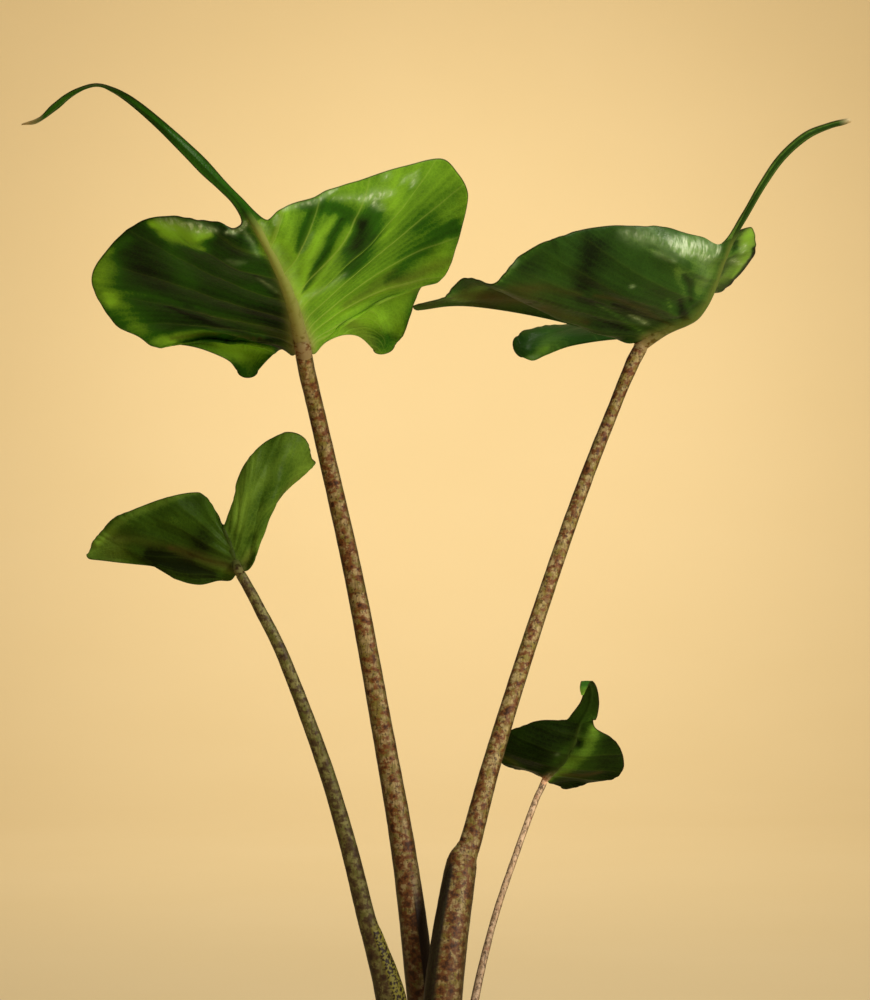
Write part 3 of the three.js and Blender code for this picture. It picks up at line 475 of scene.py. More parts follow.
# Where a sheath wraps a stalk: the way it faces, how far it stands out, and the heights between
# which it runs out.
SHEATHS = {
    "tall_left": ((0.95, -0.3, 0), 0.3, 235, 262),
    "tall_right": ((-0.99, -0.14, 0), 0.5, 258, 268),
    "low_left": ((0.93, -0.36, 0), 0.4, 228, 238),
    "low_right": ((1, 0, 0), 0.0, 100, 110),
}

# A blade's green where it is deepest, in the middle and lightest, then its veins, midrib, upper
# face and tail's end, and the gloss of its skin outside the painted sheens.
LEAF_COLORS = {
    "tall_left": (("#0C2104", "#2F650E", "#8CC032"), "#A0BC54", "#A4AE5C", "#1E4A12", "#CDBF98", 0.14),
    "tall_right": (("#10200A", "#345C1C", "#84B04A"), "#6F9038", "#76883E", "#2C5818", "#CDBF98", 0.14),
    "low_left": (("#161E08", "#3C5814", "#769632"), "#5C7A2A", "#3C4A1C", "#1E4A12", "#CDBF98", 0.05),
    "low_right": (("#121C07", "#304C12", "#6E9630"), "#5F7A30", "#3E521E", "#3F7A26", "#8CC04A", 0.05),
}

# A stalk's ground, clouds, blotches and sheath, and how far the blotches spread, more above 0.
# The near-black sheath colours of the two tall stalks are painted shade.
STALK_COLORS = {
    "tall_left": ("#94825A", "#6C622C", "#5E3216", "#1E1410", 0.012),
    "tall_right": ("#9C8B5E", "#766A2E", "#603416", "#242010", 0.012),
    "low_left": ("#6E6C40", "#4E5022", "#3A2C1A", "#5E5A20", 0.0),
    "low_right": ("#E4C6A4", "#CEAE8A", "#A87A60", "#8E6C5A", -0.14),
}

# Soil and its loose grains: material, dark and light colour, roughness.
PEAT = ("damp_peat", "#120C08", "#3A2A1D", 0.95)
BARK = ("bark", "#3B2414", "#7A5636", 0.9)
PERLITE = ("perlite", "#BDB6A6", "#EDE8DC", 0.85)
# Grains: material, how many to a square metre, then in metres the least spacing and the smallest
# and largest size, then the shape and, in metres, how knobbly it is.
GRAINS = {
    "peat_crumbs": (PEAT, 90000.0, 0.0018, 0.0007, 0.0019, (1, 0.9, 0.7), 0.0012),
    "bark_chips": (BARK, 9000.0, 0.006, 0.0016, 0.0034, (1.2, 0.7, 0.28), 0.0015),
    "perlite_grains": (PERLITE, 7000.0, 0.008, 0.0009, 0.0018, (1, 0.9, 0.85), 0.0012),
}

# The setting of a ramp that starts and ends gently.
SOFTLY = {"interpolation_type": "SMOOTHSTEP"}


def linear(code):
    """An sRGB hex colour as the linear RGBA that a shader takes."""
    channels = [int(code[i:i + 2], 16) / 255 for i in (1, 3, 5)]
    return [c / 12.92 if c <= 0.04045 else ((c + 0.055) / 1.055) ** 2.4 for c in channels] + [1.0]


def add(tree, kind, inputs=None, **settings):
    """Adds a node, sets it up, and fills or links its inputs by name or number."""
    made = tree.nodes.new(kind)
    for name, value in settings.items():
        setattr(made, name, value)
    for key, value in (inputs or {}).items():
        if isinstance(value, bpy.types.NodeSocket):
            tree.links.new(value, made.inputs[key])
        else:
            made.inputs[key].default_value = value
    return made


def calc(tree, operation, first, second=0.0):
    """One step of arithmetic on two numbers."""
    return add(tree, "ShaderNodeMath", {0: first, 1: second}, operation=operation).outputs[0]


def vectors(tree, operation, first, second, output="Vector"):
    """One step of arithmetic on two vectors."""
    return add(tree, "ShaderNodeVectorMath", {0: first, 1: second}, operation=operation).outputs[output]


def scaled(tree, way, factor):
    return add(tree, "ShaderNodeVectorMath", {0: way, "Scale": factor}, operation="SCALE").outputs[0]


def ramp(tree, value, low, high, start=0.0, end=1.0, **settings):
    """Takes a value from the span low to high into the span start to end."""
    spans = {"Value": value, "From Min": low, "From Max": high, "To Min": start, "To Max": end}
    return add(tree, "ShaderNodeMapRange", spans, **settings).outputs[0]


def blend(tree, share, under, over):
    """Lays one colour over another by a share from 0 to 1."""
    return add(tree, "ShaderNodeMix", {0: share, 6: under, 7: over}, data_type="RGBA").outputs[2]


def layered(tree, color, layers):
    """Lays pairs of share and colour over a colour, each over the ones before it."""
    for share, over in layers:
        color = blend(tree, share, color, linear(over) if isinstance(over, str) else over)
    return color


def noise(tree, place, scale, detail, rough=0.5):
    """Soft random clouds from 0 to 1, with scale of them to a metre."""
    look = {"Vector": place, "Scale": scale, "Detail": detail, "Roughness": rough}
    return add(tree, "ShaderNodeTexNoise", look).outputs["Fac"]


def stretched(tree, place, scale):
    return add(tree, "ShaderNodeMapping", {"Vector": place, "Scale": scale}).outputs[0]


def relief(tree, height, strength, distance):
    """Fine bumps in a surface's light."""
    look = {"Height": height, "Strength": strength, "Distance": distance}
    return add(tree, "ShaderNodeBump", look).outputs[0]


def attribute(tree, name):
    return add(tree, "ShaderNodeAttribute", attribute_name=name).outputs["Fac"]


def new_material(name):
    """An empty material, its node tree and the place on the piece in metres."""
    made = bpy.data.materials.new(name)
    made.use_nodes = True
    tree = made.node_tree
    tree.nodes.clear()
    return made, tree, add(tree, "ShaderNodeTexCoord").outputs["Object"]


def skin(tree, inputs):
    """Covers the piece with a surface."""
    face = add(tree, "ShaderNodeBsdfPrincipled", inputs)
    add(tree, "ShaderNodeOutputMaterial", {"Surface": face.outputs[0]})


def scene_object(name, data):
    """A new object in the scene."""
    made = bpy.data.objects.new(name, data)
    bpy.context.scene.collection.objects.link(made)
    return made


def settled_mesh(source):
    """The mesh of an object with its modifiers worked out."""
    graph = bpy.context.evaluated_depsgraph_get()
    graph.update()
    return bpy.data.meshes.new_from_object(source.evaluated_get(graph))


def store(data, name, values):
    """Keeps a number for each point of a mesh under a name."""
    data.attributes.new(name, "FLOAT", "POINT").data.foreach_set("value", np.asarray(values, np.float32))


def mesh_piece(name, points, faces, marks=None):
    """A smooth piece from points in millimetres, with a float attribute for each mark."""
    data = bpy.data.meshes.new(name)
    data.from_pydata((np.asarray(points) * MM).tolist(), [], faces)
    data.shade_smooth()
    for mark, values in (marks or {}).items():
        store(data, mark, values)
    return scene_object(name, data)


def finish_piece(piece, node, material=None):
    """Puts a finished piece on the body in place of its CAD node."""
    if material:
        piece.data.materials.clear()
        piece.data.materials.append(material)
    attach(piece, "root")
    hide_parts(node)


def unit(ways):
    """Each way at a length of one."""
    return ways / np.maximum(np.linalg.norm(ways, axis=-1, keepdims=True), 1e-9)


def bell(distance, reach):
    """One at no distance, falling softly towards nothing past the reach."""
    return np.exp(-(distance / reach) ** 2)


def curve_through(rows):
    """A smooth curve through rows of (station, values...), as a function of an array of stations."""
    rows = np.array(rows, float)
    at, values = rows[:, 0], rows[:, 1:]
    last = len(rows) - 1
    before = np.maximum(np.arange(last + 1) - 1, 0)
    after = np.minimum(np.arange(last + 1) + 1, last)
    slopes = (values[after] - values[before]) / (at[after] - at[before])[:, None]

    def curve(stations):
        stations = np.asarray(stations, float)
        i = np.clip(np.searchsorted(at, stations, side="right") - 1, 0, last - 1)
        span = (at[i + 1] - at[i])[:, None]
        t = (stations - at[i])[:, None] / span
        through = values[i] * (1 - t) ** 2 * (1 + 2 * t) + values[i + 1] * t * t * (3 - 2 * t)
        return through + span * t * (1 - t) * (slopes[i] * (1 - t) - slopes[i + 1] * t)

    return curve


class HalfBlade:
    """One half of a leaf from the tip of its tail to the tip of its rear lobe."""

    def __init__(self, leaf, side):
        self.sign = -1 if side == "left" else 1
        self.form = leaf[side]
        self.veins = self.form.get("veins") or leaf["veins"]
        midrib, tail = leaf["midrib"], leaf["tail"]
        self.first, self.junction = midrib[0][0], midrib[-1][0]
        self.start, self.last = self.first - len(tail), self.form["edge"][-1][0]
        centres = [(self.start + i, *row[:3]) for i, row in enumerate(tail)]
        rims = [(s, *(np.array(row[:3]) + self.sign * np.array(row[3:6])), 0)
                for (s, *_), row in zip(centres, tail)]
        self.midrib = curve_through(centres + midrib)
        self.edge = curve_through(rims + self.form["edge"])
        self.sinus = curve_through([midrib[-1]] + self.form["sinus"])
        ends = np.array([self.last - 0.6, self.last])
        middles = self.inner(ends) + self.across(ends) / 2
        self.line_end = unit(middles[1] - middles[0])

    def inner(self, s):
        """Points of the line that a half starts from: the midrib, then the sinus behind it."""
        on_midrib = (s <= self.junction)[:, None]
        return np.where(on_midrib, self.midrib(s), self.sinus(np.maximum(s, self.junction)))

    def across(self, s):
        """The way from the inner line to the edge, up to the last station."""
        kept = np.minimum(s, self.last)
        return self.edge(kept)[:, :3] - self.inner(kept)

    def width(self, s):
        """Width of the half, which past the last station closes as a half round."""
        return np.linalg.norm(self.across(s), axis=1) * np.cos(np.maximum(s - self.last, 0) * math.pi / 2)

    def line(self, s, t):
        """Points at a share t of the straight way from the inner line to the edge."""
        kept = np.minimum(s, self.last)
        across = self.across(s) / 2
        turn = (s - kept)[:, None] * math.pi / 2
        onward = self.line_end * np.linalg.norm(across, axis=1, keepdims=True) * np.sin(turn) * LOBE_ROUND
        middle = self.inner(kept) + across
        return middle + onward + across * np.cos(turn) * (2 * np.reshape(t, (-1, 1)) - 1)

    def upper(self, s):
        """The way that the upper face looks at each station."""
        step = 0.25
        before, after = np.maximum(s - step, self.start), np.minimum(s + step, self.last)
        along = self.inner(after) + self.across(after) / 2 - self.inner(before) - self.across(before) / 2
        return unit(np.cross(self.across(s), along)) * self.sign

    def point(self, s, t):
        """Points of the bowed and waved sheet, before its veins."""
        kept = np.minimum(s, self.last)
        reach = np.minimum(1, self.width(s) / FULL_WIDTH)
        bow = self.edge(kept)[:, 3] * 4 * t * (1 - t)
        wave = EDGE_WAVE * t ** 4 * np.sin(1.9 * s)
        ripple = EDGE_RIPPLE * t ** 6 * np.sin(7.3 * s + 2 * np.sin(2.1 * s))
        return self.line(s, t) + self.upper(kept) * (bow + (wave + ripple) * reach)[:, None]

    def patches(self, kind, points, amounts=1):
        """Sums of the half's soft patches of one kind at each point, one for each amount in a row."""
        totals = np.zeros((amounts, len(points)))
        for row in self.form[kind]:
            path, reach = np.reshape(row[:-1 - amounts], (-1, 2)), row[-1 - amounts]
            ways = np.linspace(0, len(path) - 1, 8 * len(path) - 7)
            stations, shares = [np.interp(ways, range(len(path)), column) for column in path.T]
            spots = self.point(stations, shares)
            gaps = np.linalg.norm(points[:, None] - spots, axis=2)
            along = gaps.argmin(axis=1) / max(len(spots) - 1, 1)
            slim = 1 - PATCH_SLIM * (2 * along - 1) ** 4 if len(path) > 1 else 1
            totals += np.outer(row[-amounts:], bell(gaps.min(axis=1), reach * slim))
        return totals

    def vein(self, knots, t):
        """Station of a vein at each share t, running straight on past its last knot."""
        (s0, t0), (s1, t1) = knots[-2], knots[-1]
        path = curve_through([(share, station) for station, share in knots])
        onward = (s1 - s0) / (t1 - t0) * np.maximum(t - t1, 0)
        return path(np.clip(t, knots[0][1], t1))[:, 0] + onward


def vein_field(half, s, t, points):
    """For each point: mm to the nearest main vein, share along it, place in the fan, mm across there.

    The place is a whole number on each vein, so that a material can draw its line finely.
    """
    veins = half.veins
    gaps, shares = [], []
    for knots in veins:
        ways = np.linspace(knots[0][1], knots[-1][1], VEIN_STEPS)
        line = half.point(half.vein(knots, ways), ways)
        distance = np.linalg.norm(points[:, None, :] - line[None, :, :], axis=2)
        gaps.append(distance.min(axis=1))
        shares.append(distance.argmin(axis=1) / (VEIN_STEPS - 1))
    gaps, shares = np.array(gaps), np.array(shares)
    each = np.arange(len(points))
    closest = gaps.argmin(axis=0)

    rows = np.array([half.vein(knots, t) for knots in veins])
    rows = np.vstack([rows[0] - OUTER_FAN, rows, rows[-1] + OUTER_FAN])
    low = np.clip((rows[1:-1] <= s).sum(axis=0), 0, len(veins))
    part = (s - rows[low, each]) / (rows[low + 1, each] - rows[low, each])
    below, above = gaps[np.maximum(low - 1, 0), each], gaps[np.minimum(low, len(veins) - 1), each]
    return gaps.min(axis=0), shares[closest, each], low + part, np.clip(below + above, 3, 40)


def rib_radius(leaf, s):
    """Radius of the midrib at each station, thin at the tip of the tail and full at the junction."""
    first, junction = leaf["midrib"][0][0], leaf["midrib"][-1][0]
    thin, full = leaf["rib"]
    start = first - len(leaf["tail"])
    tail = [row[6] * TAIL_RIB for row in leaf["tail"]]
    stations = [start + i for i in range(len(tail))] + [first, junction]
    return np.interp(s, stations, tail + [thin, full])


def half_sheet(leaf, half, stations, shares):
    """Points, half-thicknesses below and above, and marks of one half on its stations and shares."""
    s, t = [grid.ravel() for grid in np.meshgrid(stations, shares, indexing="ij")]
    base = half.point(s, t)
    upper = half.upper(np.minimum(s, half.last))
    width = half.width(s)
    reach = np.minimum(1, width / FULL_WIDTH)
    on_blade = np.clip(s - half.first + 0.5, 0, 1)
    gap, along, fan, spacing = vein_field(half, s, t, base)

    # The skin puffs up between the veins, less beside the midrib and at the edge.
    inside = (1 - t ** 4) * np.minimum(1, t * width / 6)
    puff = leaf["quilt"] * (1 - bell(gap, QUILT_REACH)) * inside
    lumps = SKIN_LUMP * np.sin(base @ [0.21, 0.13, 0.17]) * np.cos(base @ [-0.11, 0.19, 0.23])
    dent, shade = half.patches("creases", base, 2)
    offset = (puff + lumps * np.minimum(1, t * 4)) * reach * on_blade + half.patches("hollows", base)[0]
    offset = offset + dent

    # The margin runs along the edge, round the tip of the lobe and along the sinus.
    radius = rib_radius(leaf, s)
    from_junction = np.linalg.norm(base - half.midrib(np.array([half.junction])), axis=1)
    from_rib = np.where(s <= half.junction, t * width, from_junction)
    margin = (1 - t) * width
    margin = np.where(s > half.junction, np.minimum(margin, t * width + 0.6 * from_junction), margin)
    turn = np.maximum(s - half.last, 0) * math.pi / 2
    from_tip = 1 - np.hypot(np.sin(turn), np.cos(turn) * (2 * t - 1))
    last_width = half.width(np.array([half.last]))[0]
    margin = np.where(s > half.last, np.minimum(margin, last_width / 2 * from_tip), margin)
    fade = np.clip(VEIN_COLOR_END - along, 0, 1) * on_blade * half.form["vein_strength"]
    blush, sheen = half.patches("blushes", base)[0], half.patches("sheens", base)[0]
    # Painted light and shade: the shades and the creases' shade lighten or darken the tone over the half's
    # base green.
    tone = half.patches("shades", base)[0] + shade
    tone = tone + np.where(s < half.first, leaf["tail_tone"], half.form["base_tone"])

    # The blade thins towards its margin, and veins and midrib stand out below.
    solid = np.minimum(1, margin / MARGIN_TAPER)
    half_thick = 0.5 * (MARGIN_THICKNESS + (BLADE_THICKNESS - MARGIN_THICKNESS) * solid)
    ridge = VEIN_HEIGHT * bell(gap, VEIN_WIDTH) * np.clip(VEIN_RIDGE_END - along, 0, 1) * on_blade
    under = half_thick + ridge + FILLET * radius * bell(from_rib, FILLET_REACH * radius)
    up_rib = np.clip((s - half.first) / (half.junction - half.first), 0, 1)
    marks = {
        "fan": fan,
        "spacing": spacing,
        "fade": fade,
        "margin": margin,
        "tone": tone,
        "blush": blush.clip(0, 1) * on_blade,
        "sheen": sheen.clip(0, 1),
        "stalk": bell(from_rib, STALK_COLOR_REACH * radius) * up_rib ** leaf["mottled"],
        "rib": bell(from_rib, RIB_COLOR_REACH * radius) * on_blade,
        "tip": np.clip((s - half.start) / DRY_TIP, 0, 1),
        "tail": np.clip(half.first + 0.5 - s, 0, 1),
    }
    return base + upper * offset[:, None], under, half_thick, marks


def leaf_sheet(leaf):
    """Both halves of a blade and its tail as one closed sheet: points, faces and marks."""
    halves = [HalfBlade(leaf, "left"), HalfBlade(leaf, "right")]
    first = halves[0]
    rings = round((first.last - first.start) * RINGS_PER_STATION)
    tip_rings = np.arange(1, RINGS_PER_STATION + 1) / RINGS_PER_STATION * LOBE_TIP
    stations = np.append(np.linspace(first.start, first.last, rings + 1), first.last + tip_rings)
    # Cells get a little narrower towards the edge.
    shares = np.linspace(0, 1, CELLS_ACROSS + 1) ** 0.9
    across = len(shares)
    parts = [half_sheet(leaf, half, stations, shares) for half in halves]
    points, under, over = [np.concatenate([part[k] for part in parts]) for k in (0, 1, 2)]
    marks = {mark: np.concatenate([part[3][mark] for part in parts]) for mark in parts[0][3]}

    grid = np.arange(2 * len(stations) * across).reshape(2, len(stations), across)
    on_midrib = stations <= first.junction
    grid[1, on_midrib, 0] = grid[0, on_midrib, 0]
    faces = []
    for half, sign in ((grid[0], -1), (grid[1], 1)):
        a, b, c, d = half[:-1, :-1], half[1:, :-1], half[1:, 1:], half[:-1, 1:]
        faces.append(np.stack([a, b, c, d] if sign > 0 else [a, d, c, b], axis=-1).reshape(-1, 4))
    faces = np.concatenate(faces)

    # The halves share the points of the midrib, and each point faces the mean way of its cells.
    used, faces = np.unique(faces, return_inverse=True)
    faces = faces.reshape(-1, 4)
    points, under, over = points[used], under[used], over[used]
    marks = {mark: values[used] for mark, values in marks.items()}
    normals = np.zeros_like(points)
    a, b, c, d = [points[faces[:, k]] for k in range(4)]
    face_normals = np.cross(c - a, d - b)
    for k in range(4):
        np.add.at(normals, faces[:, k], face_normals)
    normals = unit(normals)
    upward = unit(np.concatenate([half.upper(stations) for half in halves]).sum(axis=0))
    if normals.sum(axis=0) @ upward < 0:
        normals, faces = -normals, faces[:, ::-1]

    # The upper and the under face are joined along every side that only one cell has.
    count = len(points)
    body = np.concatenate([points + normals * over[:, None], points - normals * under[:, None]])
    sides = dict.fromkeys((face[k], face[(k + 1) % 4]) for face in faces.tolist() for k in range(4))
    rim = [(b, a, a + count, b + count) for a, b in sides if (b, a) not in sides]
    closed = faces.tolist() + (faces[:, ::-1] + count).tolist() + rim
    marks = {mark: np.concatenate([values, values]) for mark, values in marks.items()}
    marks["upper"] = np.repeat([1.0, 0.0], count)
    return body, closed, marks


def tube(centres, radii, sides):
    """A closed tube along centres, its rings turned as little as possible: points and faces."""
    ways = unit(np.gradient(centres, axis=0))
    side = unit(np.cross(ways[0], [0.2, 1, 0.1]))
    angles = np.linspace(0, 2 * math.pi, sides, endpoint=False)
    rings = []
    for centre, radius, way in zip(centres, radii, ways):
        side = unit(side - way * (side @ way))
        other = np.cross(way, side)
        rings.append(centre + radius * (np.outer(np.cos(angles), side) + np.outer(np.sin(angles), other)))
    count = len(rings)
    corners = [(k, (k + 1) % sides) for k in range(sides)]
    faces = [(row + k, row + after, row + sides + after, row + sides + k)
             for row in range(0, (count - 1) * sides, sides) for k, after in corners]
    faces.append(tuple(reversed(range(sides))))
    faces.append(tuple(range((count - 1) * sides, count * sides)))
    return np.concatenate(rings), faces


def rib_tube(leaf):
    """The round midrib under a blade, from the tip of the tail to the joint: points, faces, marks."""
    halves = [HalfBlade(leaf, "left"), HalfBlade(leaf, "right")]
    mid = halves[0]
    stations = np.arange(mid.start, mid.junction, dtype=float)
    centres = mid.midrib(stations)
    spread = halves[1].edge(stations)[:, :3] - halves[0].edge(stations)[:, :3]
    along = mid.midrib(stations + 0.5) - centres
    under = unit(np.cross(along, spread))
    radii = rib_radius(leaf, stations)
    centres = centres + under * (radii * RIB_SINK)[:, None]
    at, heading = np.array(leaf["joint"][0]), unit(np.array(leaf["joint"][1]))
    full = leaf["rib"][1]
    ends = [at + heading * full, at + heading * 0.15, at - heading * JOINT_OVERLAP]
    keys = [(i, *c, r) for i, (c, r) in enumerate(zip([*centres, *ends], [*radii, full, full, full]))]
    ways = np.linspace(0, len(keys) - 1, RIB_STEPS * len(keys))
    rows = curve_through(keys)(ways)
    points, faces = tube(rows[:, :3], rows[:, 3], RIB_SIDES)
    station = np.repeat(mid.start + ways, RIB_SIDES)
    up_rib = np.clip((station - mid.first) / (mid.junction - mid.first), 0, 1)
    # No main vein, brown edge or soft patch reaches the midrib.
    nothing = np.zeros(len(points))
    marks = {
        "fan": nothing + 0.5,
        "spacing": nothing + 20,
        "fade": nothing,
        "margin": nothing + 10,
        "tone": nothing + 0.35,
        "blush": nothing,
        "sheen": nothing,
        "stalk": up_rib ** leaf["mottled"],
        "rib": np.clip(station - mid.first + 0.5, 0, 1),
        "tip": np.clip((station - mid.start) / DRY_TIP, 0, 1),
        "tail": np.clip(mid.first + 0.5 - station, 0, 1),
        "upper": nothing,
    }
    return points, faces, marks


def leaf_piece(name):
    """A whole leaf blade: the closed sheet with its veins, and the midrib running into the joint."""
    leaf = LEAVES[name]
    points, faces, marks = leaf_sheet(leaf)
    rib_points, rib_faces, rib_marks = rib_tube(leaf)
    count = len(points)
    points = np.concatenate([points, rib_points])
    faces = faces + [tuple(i + count for i in face) for face in rib_faces]
    marks = {mark: np.concatenate([marks[mark], rib_marks[mark]]) for mark in marks}
    return mesh_piece("leaf_" + name, points, faces, marks)


def leaf_material(name, greens, vein, rib, upper, tail_end, gloss, stalk_ground, stalk_blotch):
    """Living leaf blade, thin and waxy: light shines through it, veins stay paler, edges go brown."""
    made, tree, place = new_material(name)
    deep, middle, lit = [linear(green) for green in greens]
    names = "fan spacing fade margin tone blush sheen stalk rib tip tail upper".split()
    mark = {key: attribute(tree, key) for key in names}

    # Soft clouds of lighter and darker green, about 25 mm across.
    clouds = noise(tree, place, 40, 4, 0.55)
    # The net of small veins, 2 to 3 mm across, a little paler than the green between them.
    net = add(tree, "ShaderNodeTexVoronoi", {"Vector": place, "Scale": 420}, feature="DISTANCE_TO_EDGE")
    net_line = ramp(tree, net.outputs["Distance"], 0.0, 0.16, 0.07, 0.0)
    # Streaks between the main veins fan out with them.
    streak_place = add(tree, "ShaderNodeCombineXYZ", {0: mark["fan"]}).outputs[0]
    streak = ramp(tree, noise(tree, streak_place, 5, 3), 0.3, 0.7, -0.08, 0.08)
    tone = ramp(tree, clouds, 0.3, 0.7, -0.09, 0.09, clamp=False)
    for part in (mark["tone"], streak, net_line):
        tone = calc(tree, "ADD", tone, part)
    # The tone runs from deep through middle to lit green, and above 1 to a brighter green that paints the
    # most lit places.
    color = layered(tree, deep, [(ramp(tree, tone, 0.0, 0.5), middle), (ramp(tree, tone, 0.5, 1.0), lit),
                                 (ramp(tree, tone, 1.0, 1.6), "#A8E04A")])

    # A main vein is a line 1 mm wide inside a paler band 6 mm wide.
    beside = calc(tree, "MULTIPLY", calc(tree, "PINGPONG", mark["fan"], 0.5), mark["spacing"])
    halo, line = [calc(tree, "MULTIPLY", ramp(tree, beside, near, far, most, 0.0, **SOFTLY), mark["fade"])
                  for near, far, most in ((0.3, 3.0, 0.22), (0.15, 0.75, 0.6))]
    # Blotches of the stalk, about 4 mm across, are carried up the midrib.
    blotches = noise(tree, stretched(tree, place, (1, 1, 1.6)), 260, 3)
    mottled = blend(tree, ramp(tree, blotches, 0.5, 0.62), linear(stalk_ground), linear(stalk_blotch))
    # Painted sheen: the colour goes pale and the skin glossier where the sheen mark lies, brightest in soft
    # spots about 4 mm across.
    painted_sheen_spots = ramp(tree, noise(tree, place, 260, 1, 0.4), 0.35, 0.65, 0.6, 1.0, **SOFTLY)
    gloss_and_painted_sheen = calc(tree, "MULTIPLY", mark["sheen"], painted_sheen_spots)
    # Painted glints: near-white spots, about 2 mm across and taller than wide, lie in the glossy places.
    glints = noise(tree, stretched(tree, place, (1, 1, 0.4)), 420, 2)
    core = ramp(tree, mark["sheen"], 0.35, 1.0, 0.0, 0.85)
    painted_glints = calc(tree, "MULTIPLY", ramp(tree, glints, 0.42, 0.72, **SOFTLY), core)
    color = layered(tree, color, [
        (calc(tree, "MULTIPLY", mark["tail"], 0.15), deep),
        (calc(tree, "MULTIPLY", mark["blush"], 0.8), "#50461F"),
        (halo, lit),
        # The painted sheen, then the painted glints.
        (calc(tree, "MULTIPLY", gloss_and_painted_sheen, 0.55), "#A9CC90"),
        (painted_glints, "#DDEFD2"),
        (calc(tree, "MULTIPLY", mark["upper"], 0.55), upper),
        (calc(tree, "MULTIPLY", mark["rib"], 0.75), rib),
        (line, vein),
        (ramp(tree, mark["margin"], 0.25, 0.8, 0.7, 0.0), "#2E1B10"),
        (ramp(tree, mark["tip"], 0.1, 0.6, 0.9, 0.0), tail_end),
        (mark["stalk"], mottled),
    ])

    # Puckers 3 mm across, small veins and streaks stand out a little, as on the living blade.
    grain = noise(tree, place, 330, 3, 0.6)
    for part in (net_line, line, streak):
        grain = calc(tree, "ADD", grain, part)
    bump = relief(tree, grain, 0.35, 0.001)
    face = add(tree, "ShaderNodeBsdfPrincipled", {
        "Base Color": color, "Roughness": ramp(tree, clouds, 0.3, 0.7, 0.3, 0.42), "IOR": 1.4,
        "Specular IOR Level": ramp(tree, gloss_and_painted_sheen, 0.0, 1.0, gloss, 0.6), "Normal": bump})
    # Light comes through the blade brighter and a little yellower than it is thrown back.
    glow = add(tree, "ShaderNodeHueSaturation",
               {"Color": color, "Hue": 0.49, "Saturation": 1.05, "Value": 1.7})
    through = add(tree, "ShaderNodeBsdfTranslucent", {"Color": glow.outputs[0], "Normal": bump})
    both = add(tree, "ShaderNodeMixShader", {0: 0.4, 1: face.outputs[0], 2: through.outputs[0]})
    add(tree, "ShaderNodeOutputMaterial", {"Surface": both.outputs[0]})
    return made


def stalk_material(name, cream, olive, blotch, sheath, spread):
    """Mottled leaf stalk: cream and olive skin with soft red-brown blotches, dark cores and streaks."""
    made, tree, place = new_material(name)
    height = add(tree, "ShaderNodeSeparateXYZ", {0: place}).outputs[2]
    low = ramp(tree, height, 0.19, 0.36, 1.0, 0.0)
    # Olive-yellow clouds, 4 mm across, lie over the cream ground.
    clouds = noise(tree, place, 240, 4, 0.6)
    # Fine dark streaks, about 1 mm wide, run up the stalk.
    streaks = noise(tree, stretched(tree, place, (1, 1, 0.16)), 900, 3)
    # Red-brown blotches about 5 mm apart have ragged soft edges and near black middles, and they
    # are denser low down.
    blots = noise(tree, stretched(tree, place, (1, 1, 1.3)), 200, 4, 0.6)
    denser = calc(tree, "ADD", calc(tree, "MULTIPLY", low, 0.06), spread)
    blots = calc(tree, "ADD", blots, denser)
    flecks = noise(tree, place, 600, 2)
    # The sheath is speckled; on the two tall stalks its near-black colour is painted shade.
    wing = blend(tree, ramp(tree, flecks, 0.46, 0.56), linear(sheath), linear("#1E150C"))
    color = layered(tree, linear(cream), [
        (ramp(tree, clouds, 0.42, 0.58), olive),
        (ramp(tree, streaks, 0.45, 0.7, 0.0, 0.75), "#4A3A20"),
        (ramp(tree, blots, 0.47, 0.6, 0.0, 0.9, **SOFTLY), blotch),
        (ramp(tree, blots, 0.6, 0.7, 0.0, 0.8, **SOFTLY), "#1C0F08"),
        (ramp(tree, flecks, 0.56, 0.66, 0.0, 0.75), "#2E1A0E"),
        # Painted shade: the stalk darkens towards the soil.
        (calc(tree, "MULTIPLY", low, 0.45), "#2A1A0E"),
        # Painted shade: the sides that face left and right go dark olive.
        (attribute(tree, "side_shade"), "#2A2611"),
        (attribute(tree, "sheath"), wing),
    ])
    # Fine ridges along the stalk and a slight swell at each blotch.
    bump = relief(tree, calc(tree, "ADD", streaks, blots), 0.4, 0.0005)
    skin(tree, {"Base Color": color, "Roughness": 0.5, "IOR": 1.4, "Specular IOR Level": 0.2,
                "Normal": bump})
    return made


def soil_material(name, dark, light, rough):
    """Damp peat mix or one of its grains: dull, with lighter fibres and dust."""
    made, tree, place = new_material(name)
    coarse = noise(tree, place, 350, 6, 0.7)
    color = blend(tree, ramp(tree, coarse, 0.35, 0.7), linear(dark), linear(light))
    skin(tree, {"Base Color": color, "Roughness": rough, "Normal": relief(tree, coarse, 0.8, 0.001)})
    return made


def pot_material():
    """Thrown stoneware under a satin off-white glaze: speckled, with faint turning rings."""
    made, tree, place = new_material("satin_glazed_stoneware")
    clouds = noise(tree, place, 22, 5)
    # Iron specks about 1 mm across.
    cells = add(tree, "ShaderNodeTexVoronoi", {"Vector": place, "Scale": 260})
    color = layered(tree, linear("#CFC6B5"), [
        (ramp(tree, clouds, 0.3, 0.7), "#E2DBCD"),
        (ramp(tree, cells.outputs["Distance"], 0.1, 0.16, 0.65, 0.0), "#6B5138"),
    ])
    rings = add(tree, "ShaderNodeTexWave", {"Vector": place, "Scale": 55, "Distortion": 1.5, "Detail": 2},
                bands_direction="Z")
    skin(tree, {"Base Color": color, "Roughness": ramp(tree, clouds, 0.0, 1.0, 0.38, 0.55), "IOR": 1.5,
                "Normal": relief(tree, rings.outputs["Fac"], 0.12, 0.0006)})
    return made


